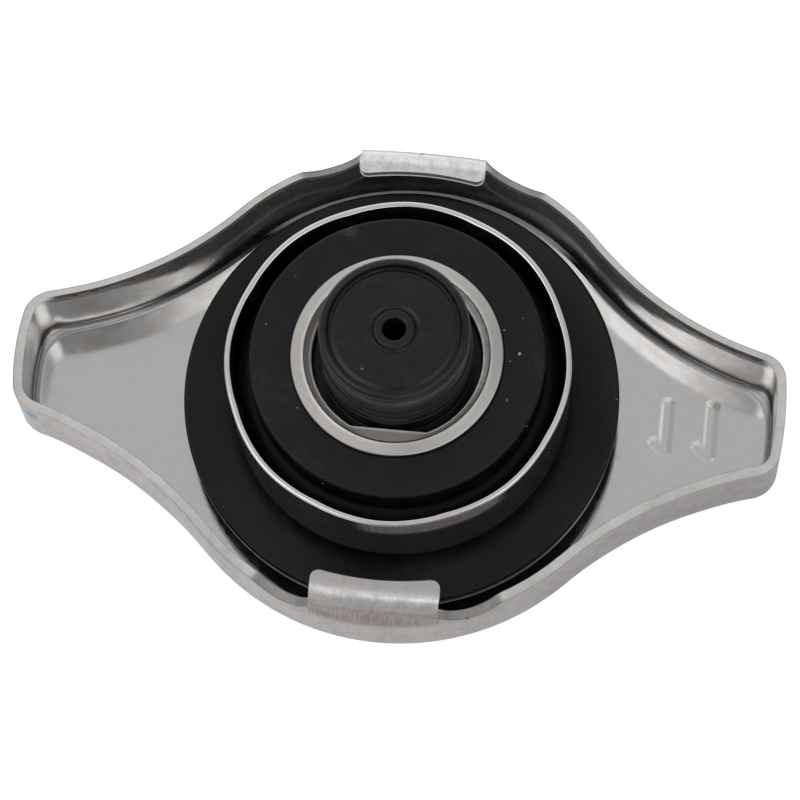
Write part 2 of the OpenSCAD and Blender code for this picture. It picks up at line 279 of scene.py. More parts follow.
def coil(name: str, node: str, r: float, wire: float, turns: float) -> Object:
    """Carries a round wire along a helix from a node's foot to its top, with domed ends.

    Formula: the path is (r cos a, r sin a, foot + wire/2 + rise a / full turn angle), and at each step
    the section is a circle of the wire's radius, which shrinks as a half sphere at both ends.

    Args:
        name: Name of the piece.
        node: The CAD node that gives its ends.
        r: Radius of the coil in mm.
        wire: Diameter of the wire in mm.
        turns: Number of turns.

    Returns:
        The new object.
    """
    _, foot, top = span(node)
    steps, round_steps, dome = int(turns * 72), 20, 6
    body = np.linspace(0, 2 * math.pi * turns, steps)
    cap = 1 - np.sin(np.linspace(0, math.pi / 2, dome))
    angle = np.concatenate([np.full(dome, body[0]), body[1:-1], np.full(dome, body[-1])])
    push = np.concatenate([-cap, np.zeros(steps - 2), cap[::-1]]) * wire / 4
    dome_size = np.sqrt(1 - cap**2)
    size = np.concatenate([dome_size, np.ones(steps - 2), dome_size[::-1]])[:, None] * wire / 2
    b = np.linspace(0, 2 * math.pi, round_steps, endpoint=False)[None]
    turn = (angle + push / r)[:, None]
    reach = r + size * np.cos(b)
    height = foot + wire / 2 + (top - foot - wire) * angle[:, None] / body[-1] + size * np.sin(b)
    skin = Skin(name)
    index = skin.add_points(np.stack([reach * np.cos(turn), reach * np.sin(turn), height], 2))
    skin.add_faces(wrap(index), np.linspace(0, math.pi * wire, round_steps + 1), angle * r)
    return skin.to_object()


class NodeSheet:
    """Shorthand for filling a node tree. A value is a number, a tuple or the socket that gives it."""

    def __init__(self, tree: Tree) -> None:
        """Keeps the tree."""
        self.tree = tree

    def feed(self, sink: Socket, value: Value) -> None:
        """Gives an input a socket to read or a fixed value."""
        if isinstance(value, Socket):
            self.tree.links.new(value, sink)
        else:
            sink.default_value = value

    def node(self, kind: str, inputs: dict | None = None, **settings: object) -> bpy.types.Node:
        """Adds a node.

        Args:
            kind: Blender's node type without its first word, ShaderNode.
            inputs: A value for each named or numbered input.
            **settings: Properties of the node.

        Returns:
            The node.
        """
        made = self.tree.nodes.new("ShaderNode" + kind)
        for key, value in settings.items():
            setattr(made, key, value)
        for key, value in (inputs or {}).items():
            self.feed(made.inputs[key], value)
        return made

    def effect(self, tree: Tree, **inputs: Value) -> Socket:
        """Places a shared group and gives its output."""
        return self.node("Group", inputs, node_tree=tree).outputs[0]

    def math(self, operation: str, *values: Value, clamp: bool = False) -> Socket:
        """A Math node's output."""
        return self.node("Math", dict(enumerate(values)), operation=operation, use_clamp=clamp).outputs[0]

    def times(self, a: Value, b: Value, clamp: bool = False) -> Socket:
        """A product."""
        return self.math("MULTIPLY", a, b, clamp=clamp)

    def plus(self, a: Value, b: Value) -> Socket:
        """A sum."""
        return self.math("ADD", a, b)

    def rest(self, value: Value) -> Socket:
        """One minus a value."""
        return self.math("SUBTRACT", 1.0, value)

    def vector(self, operation: str, *values: Value, output: int | str = 0, **inputs: Value) -> Socket:
        """An output of a Vector Math node."""
        made = self.node("VectorMath", dict(enumerate(values)) | inputs, operation=operation)
        return made.outputs[output]

    def noise(self, vector: Value, scale: Value, detail: float = 3.0, rough: float = 0.55) -> Socket:
        """A Noise texture's value."""
        inputs = {"Vector": vector, "Scale": scale, "Detail": detail, "Roughness": rough}
        return self.node("TexNoise", inputs).outputs[0]

    def ramp(
        self, value: Value, low: Value, high: Value, out_low: float = 0.0, out_high: float = 1.0
    ) -> Socket:
        """A smooth Map Range from low..high to out_low..out_high."""
        inputs = {"Value": value, "From Min": low, "From Max": high, "To Min": out_low, "To Max": out_high}
        return self.node("MapRange", inputs, interpolation_type="SMOOTHSTEP").outputs[0]

    def mix(self, factor: Value, a: Value, b: Value) -> Socket:
        """A colour between a and b."""
        ends = [c if isinstance(c, Socket) else (*c, 1.0) for c in (a, b)]
        return self.node("Mix", {0: factor, 6: ends[0], 7: ends[1]}, data_type="RGBA").outputs[2]

    def parts(self, vector: Value) -> list[Socket]:
        """X, Y and Z of a vector."""
        return list(self.node("SeparateXYZ", {0: vector}).outputs)

    def mask(self) -> list[Socket]:
        """The three parts of the piece's mask attribute."""
        return self.parts(self.node("Attribute", attribute_name="mask").outputs["Vector"])


class Effect:
    """Node groups that several finishes share, each built once."""

    @staticmethod
    def group(name: str, output: str, **inputs: float) -> tuple[NodeSheet, dict[str, Socket], Socket]:
        """Starts a group with a Vector input, named values and one value as output.

        Args:
            name: Name of the group.
            output: Name of the output.
            **inputs: Default of each value input.

        Returns:
            The group's nodes, the sockets to read its inputs from and the socket to write its output to.
        """
        tree = bpy.data.node_groups.new(name, "ShaderNodeTree")
        face = tree.interface
        face.new_socket("Vector", in_out="INPUT", socket_type="NodeSocketVector")
        for key, value in inputs.items():
            face.new_socket(key, in_out="INPUT", socket_type="NodeSocketFloat").default_value = value
        face.new_socket(output, in_out="OUTPUT", socket_type="NodeSocketFloat")
        source = tree.nodes.new("NodeGroupInput").outputs
        return NodeSheet(tree), source, tree.nodes.new("NodeGroupOutput").inputs[output]

    @staticmethod
    @cache
    def dust() -> Tree:
        """Small pale specks, gathered in loose clusters: cells of a Voronoi texture below a random size."""
        s, source, sink = Effect.group("Dust", "Mask", Scale=1500.0, Amount=0.3)
        at = source["Vector"]
        bent = s.node("TexNoise", {"Vector": at, "Scale": 3000.0, "Detail": 2.0}).outputs["Color"]
        bent_at = s.vector("ADD", at, s.vector("SCALE", bent, Scale=0.0003))
        cells = s.node("TexVoronoi", {"Vector": bent_at, "Scale": source["Scale"]}).outputs
        luck, size, bright = s.node("SeparateColor", {0: cells["Color"]}).outputs[:3]
        cluster = s.ramp(s.noise(at, 260.0, 2.0), 0.5, 0.72)
        luck = s.plus(luck, s.times(cluster, 0.3))
        chosen = s.math("GREATER_THAN", luck, s.math("SUBTRACT", 1.12, s.times(source["Amount"], 0.3)))
        dot = s.math("LESS_THAN", cells["Distance"], s.times(size, 0.22))
        s.feed(sink, s.times(s.times(chosen, dot), s.ramp(bright, 0.0, 1.0, 0.25, 1.0)))
        return s.tree

    @staticmethod
    @cache
    def smudge() -> Tree:
        """Cloudy handling marks: two noises of different size, multiplied and stretched to 0..1."""
        s, source, sink = Effect.group("Smudge", "Mask", Scale=220.0)
        broad = s.noise(source["Vector"], source["Scale"], 3.0)
        fine = s.noise(source["Vector"], s.times(source["Scale"], 6.0), 4.0)
        s.feed(sink, s.ramp(s.times(broad, fine), 0.14, 0.42))
        return s.tree

    @staticmethod
    @cache
    def draw_lines() -> Tree:
        """Lines that a die leaves: noise pulled out along V of the sheet, coarse plus fine."""
        s, source, sink = Effect.group("DrawLines", "Height", Across=4.0, Along=0.25)
        u, v, _ = s.parts(source["Vector"])
        scaled = {0: s.times(u, source["Across"]), 1: s.times(v, source["Along"])}
        at = s.node("CombineXYZ", scaled).outputs[0]
        s.feed(sink, s.plus(s.times(s.noise(at, 1.0, 2.0), 0.6), s.times(s.noise(at, 3.7, 3.0), 0.4)))
        return s.tree

    @staticmethod
    @cache
    def strokes() -> Tree:
        """Raised strokes on the floor of the right ear: 1 inside any of the bars, soft at the edge.

        Formula: the distance from a bar from a to b is |q - clamp(q.d / d.d) d| with q = p - a, d = b - a.
        """
        s, source, sink = Effect.group("Strokes", "Mask", Soft=0.8)
        flat = s.vector("MULTIPLY", source["Vector"], (1 / MM, 1 / MM, 0.0))
        near = None
        for a, b in STAMPED_BARS:
            way = np.array([b[0] - a[0], b[1] - a[1], 0.0])
            q = s.vector("SUBTRACT", flat, (*a, 0.0))
            share = s.vector("DOT_PRODUCT", q, tuple(way / (way @ way)), output="Value")
            along = s.vector("SCALE", tuple(way), Scale=s.math("ADD", share, 0.0, clamp=True))
            off = s.vector("DISTANCE", q, along, output="Value")
            near = off if near is None else s.math("SMOOTH_MIN", near, off, STAMPED_MERGE)
        s.feed(sink, s.ramp(near, s.plus(source["Soft"], STAMPED_HALF), STAMPED_HALF))
        return s.tree


def start_material(name: str) -> tuple[bpy.types.Material, NodeSheet, bpy.types.Node]:
    """Makes a material and gives it with a sheet for its nodes and its Principled BSDF."""
    material = bpy.data.materials.new(name)
    material.use_nodes = True
    return material, NodeSheet(material.node_tree), material.node_tree.nodes["Principled BSDF"]


@dataclass(frozen=True)
class Blot:
    """A soft coloured smear at a place on a piece, in mm."""

    at: tuple[float, float, float]
    reach: float
    colour: Rgb
    amount: float

    def over(self, s: NodeSheet, at: Socket, tone: Socket) -> Socket:
        """Lays the smear over a colour.

        Args:
            s: The material's nodes.
            at: Object coordinates.
            tone: The colour below.

        Returns:
            The colour with the smear, which fades with the distance plus a noise.
        """
        reach = self.reach * MM
        off = s.vector("SUBTRACT", at, tuple(v * MM for v in self.at))
        grain = s.times(s.noise(at, 1800.0, 5.0, 0.7), reach * 1.8)
        far = s.plus(s.vector("LENGTH", off, output="Value"), grain)
        return s.mix(s.ramp(far, reach * 1.6, reach, 0.0, self.amount), tone, self.colour)


@dataclass(frozen=True)
class Finish:
    """What steel and black finishes share: a base colour, a range of roughness and smears."""

    name: str
    colour: Rgb
    rough_low: float
    rough_high: float

    def tinted(self, factor: float, lift: float = 0.0) -> Rgb:
        """The base colour times a factor plus a lift."""
        return tuple(c * factor + lift for c in self.colour)

    @staticmethod
    def close(s: NodeSheet, shader: bpy.types.Node, **values: Socket) -> None:
        """Feeds the shader its colour, roughness and, through a bump, its height in mm.

        Args:
            s: The material's nodes.
            shader: Its Principled BSDF.
            **values: The sockets for tone, rough and height.
        """
        s.feed(shader.inputs["Base Color"], values["tone"])
        s.feed(shader.inputs["Roughness"], values["rough"])
        bump = s.node("Bump", {"Height": values["height"], "Strength": 1.0, "Distance": MM})
        s.feed(shader.inputs["Normal"], bump.outputs[0])


@dataclass(frozen=True)
class Steel(Finish):
    """A steel surface with handling marks and, where it has them, lines along the sheet.

    The mask attribute of a piece adds a streaked colour (X), which is a real stain on some pieces
    and painted shade and painted reflections on others, a smoother skin whose brighter colour is a
    painted highlight (Y) and a rougher, mottled skin (Z), which above 1 turns into a pale painted
    highlight. A direct finish shows the painted shade and the pale painted highlight to camera rays
    only, so that its own mirror images stay clean.
    """

    line_bump: float = 0.0
    line_tint: float = 0.0
    lines: tuple[float, float] = (4.0, 0.25)
    speck: float = 0.0
    grain_bump: float = 0.0
    grain_scale: float = 2600.0
    stain_and_shade: Rgb | None = None
    film: float = 0.0
    sheen: float = 0.5
    even: float = 0.3
    direct: bool = False
    shine: Rgb | None = None
    shine_rough: float = 0.3
    dull: Rgb | None = None
    dull_rough: float = 0.34
    # Painted highlight: the pale matt colour that mask Z lays on above 1.
    pale_highlight: Rgb = (0.85, 0.83, 0.80)
    stamped: float = 0.0
    blots: tuple[Blot, ...] = ()

    def material(self) -> bpy.types.Material:
        """Builds the finish's material."""
        material, s, shader = start_material(self.name)
        spot = s.node("TexCoord").outputs
        at, sheet = spot["Object"], spot["UV"]
        smudge = s.effect(Effect.smudge(), Vector=at)
        tone = s.mix(s.times(smudge, 0.12), self.colour, self.tinted(0.72))
        rough = s.ramp(smudge, 0.0, 1.0, self.rough_low, self.rough_high)
        metal = 1.0
        direct = s.node("LightPath").outputs["Is Camera Ray"] if self.direct else 1.0
        height = s.times(s.noise(at, self.grain_scale, 4.0), self.grain_bump)
        if self.line_tint:
            lines = s.effect(Effect.draw_lines(), Vector=sheet, Across=self.lines[0], Along=self.lines[1])
            height = s.plus(height, s.times(lines, self.line_bump))
            tone = s.mix(s.times(s.ramp(lines, 0.42, 0.72), self.line_tint), tone, self.tinted(0.45))
        if self.stain_and_shade or self.shine or self.dull:
            stain_and_shade_mask, shining, dulled = s.mask()
        if self.dull:
            patchy = s.ramp(s.noise(at, 420.0, 4.0, 0.65), 0.38, 0.66)
            tone = s.mix(s.times(dulled, patchy), tone, self.dull)
            rough = s.plus(rough, s.times(dulled, s.math("SUBTRACT", self.dull_rough, rough)))
            # Painted highlight: above 1, mask Z turns the skin pale and matt.
            pale_highlight = s.times(s.math("SUBTRACT", dulled, 1.0, clamp=True), direct)
            tone = s.mix(pale_highlight, tone, self.pale_highlight)
            metal = s.rest(s.times(pale_highlight, 0.9))
        # Mask X: a real stain on some finishes, painted shade and painted reflections on others.
        if self.stain_and_shade:
            streak = s.effect(Effect.draw_lines(), Vector=sheet, Across=14.0, Along=0.5)
            streak = s.ramp(streak, 0.36, 0.6, self.even, 1.0)
            held = s.times(s.times(stain_and_shade_mask, streak, clamp=True), direct)
            tone = s.mix(held, tone, self.stain_and_shade)
            metal = s.times(metal, s.rest(s.times(held, self.film)))
            rough = s.plus(rough, s.times(held, 0.3 * self.film))
            s.feed(shader.inputs["Specular IOR Level"], s.ramp(held, 0.0, 1.0, 0.5, self.sheen))
        # Painted highlight: mask Y lifts the colour towards the bright shine colour.
        if self.shine:
            blotch = s.ramp(s.noise(at, 900.0, 5.0, 0.7), 0.3, 0.62, 0.45, 1.0)
            tone = s.mix(s.times(shining, blotch), tone, self.shine)
            rough = s.plus(s.times(rough, s.rest(shining)), s.times(shining, self.shine_rough))
        for blot in self.blots:
            tone = blot.over(s, at, tone)
        if self.speck:
            dots = s.effect(Effect.dust(), Vector=at, Scale=900.0, Amount=self.speck)
            tone = s.mix(s.times(dots, 0.7), tone, (0.06, 0.055, 0.05))
        if self.stamped:
            bars = s.effect(Effect.strokes(), Vector=at)
            height = s.plus(height, s.times(bars, self.stamped))
        s.feed(shader.inputs["Metallic"], metal)
        self.close(s, shader, tone=tone, rough=rough, height=height)
        return material


@dataclass(frozen=True)
class Black(Finish):
    """Rubber or moulded plastic in near black with dust.

    The mask attribute of a piece takes its sheen away (X) or turns it glossy and deeper black (Y).
    """

    dust: float
    grain_bump: float
    specular: float = 0.5
    haze: float = 0.0
    gloss_rough: float = 0.16
    blots: tuple[Blot, ...] = ()

    def material(self) -> bpy.types.Material:
        """Builds the finish's material."""
        material, s, shader = start_material(self.name)
        at = s.node("TexCoord").outputs["Object"]
        smudge = s.effect(Effect.smudge(), Vector=at, Scale=160.0)
        dots = s.effect(Effect.dust(), Vector=at, Amount=self.dust)
        bare, gloss, _ = s.mask()
        tone = s.mix(s.times(smudge, 0.5), self.colour, self.tinted(1.7, 0.004))
        broad = s.ramp(s.noise(at, 190.0, 2.0), 0.55, 0.72)
        fine = s.ramp(s.noise(at, 2400.0, 4.0, 0.7), 0.42, 0.68)
        tone = s.mix(s.times(s.times(broad, fine), self.haze), tone, (0.11, 0.11, 0.105))
        for blot in self.blots:
            tone = blot.over(s, at, tone)
        tone = s.mix(dots, tone, (0.42, 0.42, 0.40))
        rough = s.ramp(smudge, 0.0, 1.0, self.rough_low, self.rough_high)
        rough = s.plus(s.times(rough, s.rest(gloss)), s.times(gloss, self.gloss_rough))
        sheen = s.ramp(gloss, 0.0, 1.0, self.specular, self.specular * 0.5)
        s.feed(shader.inputs["Specular IOR Level"], s.times(sheen, s.rest(bare)))
        height = s.plus(s.times(s.noise(at, 3500.0, 3.0), self.grain_bump), s.times(dots, 0.05))
        self.close(s, shader, tone=tone, rough=rough, height=height)
        return material


STAMPED_HALF = 0.02
STAMPED_MERGE = 0.15
STAMPED_BARS = (
    ((22.1, 2.5), (22.1, -1.7)), ((22.1, -1.7), (21.2, -1.0)),
    ((25.8, 2.5), (25.8, -1.8)), ((25.8, -1.8), (24.8, -1.1)),
)
BLUE_SMEAR = Blot((-30.45, -5.1, 6.0), 1.6, (0.10, 0.28, 0.38), 0.85)
SEAL_SMUDGE = Blot((-5.0, 10.4, 13.9), 1.3, (0.06, 0.06, 0.058), 0.45)

# Dark colour (X): painted shade under the far rim and in the ears' corners; pale (Z above 1): painted
# highlight.
FLOOR_STEEL = Steel(
    "PolishedSteel", (0.63, 0.625, 0.62), 0.09, 0.16, grain_bump=0.001, stain_and_shade=(0.012, 0.012, 0.013), film=1.0,
    sheen=0.05, even=0.9, direct=True, dull=(0.52, 0.48, 0.45), dull_rough=0.24, stamped=0.085,
)
# Brown (X) at the tabs' roots is partly a painted reflection; the shine colour (Y) is a painted highlight.
DRAWN_STEEL = Steel(
    "DrawnSteel", (0.42, 0.402, 0.393), 0.42, 0.58, 0.012, 0.18, (5.0, 0.12), 0.5, 0.012,
    stain_and_shade=(0.25, 0.20, 0.185), shine=(0.80, 0.79, 0.78), shine_rough=0.27, blots=(BLUE_SMEAR,),
)
# Dark colour (X): darkens the scoops' cut faces and paints shade along the far rim's inner side.
CUT_STEEL = Steel(
    "CutSteel", (0.62, 0.61, 0.595), 0.42, 0.6, 0.01, 0.2, (3.0, 1.5), 0.2, 0.03, 6500.0,
    stain_and_shade=(0.07, 0.058, 0.05), film=1.0, sheen=0.1, even=0.85,
)
# Brown colour (X): a painted reflection in a strip under the near rim.
CUP_STEEL = Steel(
    "CupSteel", (0.68, 0.67, 0.66), 0.14, 0.22, grain_bump=0.001, stain_and_shade=(0.16, 0.125, 0.11), film=0.9,
)
# Matt (X): the inner slope, and painted shade on the near left flange; shine (Y): painted highlight.
EYELET_STEEL = Steel(
    "EyeletSteel", (0.46, 0.45, 0.43), 0.28, 0.38, grain_bump=0.001,
    stain_and_shade=(0.44, 0.405, 0.38), film=0.85, even=0.85, shine=(0.95, 0.94, 0.92),
)
PLAIN_STEEL = Steel("PlainSteel", (0.58, 0.57, 0.56), 0.28, 0.42, 0.003, 0.1, (0.2, 5.0), 0.2, 0.004)
SPRING_STEEL = Steel("SpringSteel", (0.46, 0.46, 0.47), 0.25, 0.4, 0.003, 0.1, (4.0, 0.1), 0.1, 0.003)
# Near black colour (X): painted shade over the disc, all but its bright edge.
DISC_STEEL = Steel(
    "DiscSteel", (0.46, 0.46, 0.47), 0.3, 0.4, grain_bump=0.002, stain_and_shade=(0.012, 0.012, 0.013),
)
# Near black steel for the valve plate, whose lip shows in the gap round the rubber ring, and hidden parts.
DARK_STEEL = Black("NearBlackSteel", (0.004, 0.004, 0.0045), 0.4, 0.5, 0.0, 0.004, 0.08)
GASKET_RUBBER = Black("GasketRubber", (0.004, 0.004, 0.0038), 0.36, 0.48, 0.25, 0.003, 0.22, 0.08)
SEAL_RUBBER = Black(
    "SealRubber", (0.0035, 0.004, 0.0055), 0.42, 0.55, 0.5, 0.003, 0.22, 0.1, blots=(SEAL_SMUDGE,),
)
PLUG_PLASTIC = Black("PlugPlastic", (0.0055, 0.0058, 0.0055), 0.24, 0.34, 0.1, 0.002, 0.3, 0.1)


@dataclass(frozen=True)
class Place:
    """What ties a piece to the frame: its CAD node, body, material slot and finishes."""

    node: str
    body: Body
    slot: str
    finishes: tuple[Finish, ...]

    def tie(self, obj: Object) -> Object:
        """Dresses a piece, with one finish for each of its material slots, and ties it to the frame."""
        for finish in self.finishes:
            obj.data.materials.append(bpy.data.materials.get(finish.name) or finish.material())
        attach(obj, self.body.value)
        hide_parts(self.node)
        log.info("%s rides on %s", obj.name, self.body.value)
        return obj


def turned(
    name: str, at: Place, columns: int, section: Section,
    shift: Field | None = None, mask: Field | None = None,
) -> None:
    """Turns a section about the Z axis, point = (r cos a, r sin a, z), and ties the piece to its place.

    Args:
        name: Name of the piece.
        at: Its place in the frame.
        columns: Number of steps round the axis.
        section: The outline to turn.
        shift: Gives a change of radius.
        mask: Gives the material's mask.
    """
    line = section.outline()
    angle = np.linspace(0, 2 * math.pi, columns, endpoint=False)[None]
    r, z = line[:, :1], line[:, 1:]
    reach = np.maximum(r + (shift(r, z, angle) if shift else 0 * angle), 0)
    skin = Skin(name)
    grid = np.stack([reach * np.cos(angle), reach * np.sin(angle), z + 0 * angle], 2)
    index = skin.add_points(grid, mask(r, z, angle) if mask else 0.0)
    loop = np.concatenate([line, line[:1]]) if section.closed else line
    round_mm = np.linspace(0, 2 * math.pi * float(line[:, 0].max()), columns + 1)
    skin.add_faces(wrap(index, int(section.closed)), round_mm, path_mm(loop))
    at.tie(skin.to_object())


@dataclass
class Cover:
    """The pressed cover: a tray with two ears, a skirt and two bent-in locking tabs."""

    middle_r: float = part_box("cover")[1].y / MM
    ear_reach: float = span("cover").reach
    tab_top: float = span("cover").top
    flank_r: float = 30.0
    flank_angle: float = 42.8
    corner_r: float = 2.4
    floor_corner_r: float = 4.3
    sheet: float = 0.8
    rim_z: float = 7.7
    rim_round: float = 0.1
    hole_round: float = 0.02
    outer_bend_r: float = 1.8
    inner_bend_r: float = 0.65
    recess_r: float = 7.0
    recess_d: float = 1.0
    recess_slope: float = 0.8
    recess_round: float = 0.9
    hole_r: float = 2.55
    tab_half: float = 5.24
    tab_bend_r: float = 1.8
    tab_edge_y: float = 17.6
    tab_edge_sag: float = 0.6
    tab_corner_r: float = 0.9
    tab_steps: int = 32
    lean_in: float = 0.5
    lean_z: float = 6.2
    scoop_r: float = 3.0
    scoop_d: float = 1.2
    scoop_swing: float = 22.6
    scoop_soft: float = 3.2
    near_bulge: tuple[float, float] = (0.22, 0.12)
    left_extra: float = 0.4
    waves: tuple[tuple[float, int, float], ...] = ((0.03, 9, 1.0), (0.02, 23, 0.0), (0.012, 71, 0.0))
    floor_shares: tuple[float, ...] = (0.1, 0.22, 0.36, 0.5, 0.64, 0.78, 0.9, 0.98)
    wall_shares: tuple[float, ...] = (0.03, 0.15, 0.3, 0.45, 0.58, 0.68, 0.76, 0.83, 0.89, 0.94, 0.975, 1.0)
    lip_shares: tuple[float, ...] = (0.12, 0.35, 0.65, 0.9, 1.0)

    def quarter(self, corner_r: float) -> tuple[Array, Array]:
        """Stations on the outline from the ear's tip to the side of a tab and on to its middle.

        Formula: arcs that meet at tangents. The flank's circle lies outside the cover, so its outward
        normal points to its centre. Along the tab the stations crowd towards its side as a cosine.

        Args:
            corner_r: Radius of the ear's corners.

        Returns:
            Points and outward normals, shape (n, 2).
        """
        flank_reach = self.middle_r + self.flank_r
        corner_reach = self.ear_reach - corner_r
        gap = corner_r + self.flank_r
        cosine = (corner_reach**2 + flank_reach**2 - gap**2) / (2 * corner_reach * flank_reach)
        corner_angle = self.flank_angle - math.degrees(math.acos(cosine))
        corner_c = corner_reach * unit(corner_angle)
        flank_c = flank_reach * unit(self.flank_angle)
        lean = math.degrees(math.atan2(*(flank_c - corner_c)[::-1]))
        tab_a = 90 - math.degrees(math.asin(self.tab_half / self.middle_r))
        scoop_a = 90 - 1.5 * self.scoop_swing
        arcs = [
            ((0, 0), self.ear_reach, 0, corner_angle, 6, 1),
            (corner_c, corner_r, corner_angle, lean, 18, 1),
            (flank_c, self.flank_r, lean + 180, self.flank_angle + 180, 40, -1),
            ((0, 0), self.middle_r, self.flank_angle, scoop_a, 10, 1),
            ((0, 0), self.middle_r, scoop_a, tab_a, 42, 1),
        ]
        points, normals = [], []
        for centre, r, a0, a1, steps, sign in arcs:
            d = unit(np.linspace(a0, a1, steps, endpoint=False))
            points.append(np.array(centre) + r * d)
            normals.append(sign * d)
        crowd = np.cos(np.linspace(0, math.pi / 2, self.tab_steps, endpoint=False))
        x = self.tab_half * crowd / self.middle_r
        d = np.stack([x, np.sqrt(1 - x**2)], 1)
        return np.concatenate([*points, self.middle_r * d]), np.concatenate([*normals, d])

    def stations(self, corner_r: float) -> tuple[Array, Array, list[Array]]:
        """The whole outline: four mirrored quarters, with the near flanks and the left ear as found.

        Formula: the near flanks stand out by a bulge (left, right) that fades over smooth steps, and the
        left ear is stretched along X in the same way, times 1 - (y / 7)^2.

        Args:
            corner_r: Radius of the ears' corners.

        Returns:
            Points and normals, shape (n, 2), and for each tab the indices of its stations.
        """
        p, n = self.quarter(corner_r)
        flip = np.array([-1.0, 1.0])
        half_p = np.concatenate([p, [[0, self.middle_r]], (p * flip)[:0:-1]])
        half_n = np.concatenate([n, [[0, 1]], (n * flip)[:0:-1]])
        points, normals = np.concatenate([half_p, -half_p]), np.concatenate([half_n, -half_n])
        x, y = points.T
        flank = smooth(-y, 3, 7) * smooth(np.abs(x), 13, 20) * smooth(-np.abs(x), -30, -25)
        flank *= np.where(x < 0, *self.near_bulge)
        points = points + flank[:, None] * normals
        points[:, 0] -= self.left_extra * smooth(-x, 12, 31) * np.clip(1 - (y / 7) ** 2, 0, 1)
        tab = np.arange(len(p) - self.tab_steps, len(p) + self.tab_steps + 1)
        return points, normals, [tab, tab + len(half_p)]

    def rim_height(self, p: Array) -> Array:
        """Height of the rim at each station: level, with a round scoop beside each tab.

        Formula: with f = root of (r^2 - s^2) - (r - d), where s is the distance along the outline from
        the scoop's middle, the rim drops by f towards the tab and by the soft step log(1 + e^kf) / k on
        the other side. A slow waviness of the trimmed edge, a sum of sines, is added.
        """
        swing = np.arcsin(np.clip(np.abs(p[:, 0]) / self.middle_r, 0, 1)) * self.middle_r
        s = np.clip(swing - math.radians(self.scoop_swing) * self.middle_r, -self.scoop_r, self.scoop_r)
        f = np.sqrt(self.scoop_r**2 - s**2) - (self.scoop_r - self.scoop_d)
        dip = np.where(s < 0, f, np.log1p(np.exp(self.scoop_soft * f)) / self.scoop_soft)
        on_middle = np.abs(np.hypot(*p.T) - self.middle_r) < 0.01
        angle = np.arctan2(p[:, 1], p[:, 0])
        wave = sum(size * np.sin(count * angle + phase) for size, count, phase in self.waves)
        return self.rim_z - np.where(on_middle, dip, 0) + wave

    def bow(self, x: Array) -> Array:
        """How far a tab's face stands in from the skirt's circle: lean (1 - (x / half)^2)."""
        return self.lean_in * np.clip(1 - (x / self.tab_half) ** 2, 0, 1)

    def face(self, offset: float, bend: float, rim: Array, tab_cols: Array) -> Array:
        """One face of the sheet below the tabs, from the rivet's hole to the rim.

        Formula: circles over the recess, straight shares from the last circle to the floor's edge, a
        quarter bend, then the wall. In the bend the inset is depth - bend sin a, the height
        offset + bend (1 - cos a), and the outline changes from the floor's to the wall's by cos^2 a. At
        a tab the wall leans in by its bow over a smooth step in height.

        Args:
            offset: Distance of this face from the sheet's outer face.
            bend: Radius of the bend on this face.
            rim: Height of the rim at each station.
            tab_cols: Stations that lie on a tab.

        Returns:
            Points, shape (rows, stations, 3).
        """
        p, n, _ = self.stations(self.corner_r)
        floor_p, floor_n, _ = self.stations(self.floor_corner_r)
        edge = floor_p - (offset + bend) * floor_n
        radial = edge / np.linalg.norm(edge, axis=1, keepdims=True)
        out = offset * math.tan(math.atan2(self.recess_d, self.recess_slope) / 2)
        low, high = self.recess_r + out, self.recess_r - self.recess_slope + out
        line = Section([
            (self.hole_r, self.recess_d + offset, 0), (high, self.recess_d + offset, self.recess_round),
            (low, offset, self.recess_round), (low + 1.2, offset, 0),
        ], longest=1.5, closed=False).outline()
        zero = np.zeros((len(p), 1))
        rows = [np.hstack([radial * r, zero + z]) for r, z in line]
        start = rows[-1][:, :2]
        for share in self.floor_shares:
            rows.append(np.hstack([start + (edge - start) * share, zero + offset]))
        for a in np.linspace(0, math.pi / 2, 13):
            inset, w = offset + bend * (1 - math.sin(a)), math.cos(a) ** 2
            xy = w * (floor_p - inset * floor_n) + (1 - w) * (p - inset * n)
            rows.append(np.hstack([xy, zero + offset + bend * (1 - math.cos(a))]))
        on_tab = np.zeros(len(p))
        on_tab[tab_cols] = 1
        for share in self.wall_shares:
            z = offset + bend + (rim - self.rim_round - offset - bend) * share
            xy = p - offset * n
            lean = on_tab * self.bow(p[:, 0]) * smooth(z, self.lean_z, self.tab_top - self.tab_bend_r)
            xy[:, 1] -= np.sign(p[:, 1]) * lean
            rows.append(np.column_stack([xy, z]))
        return np.stack(rows)

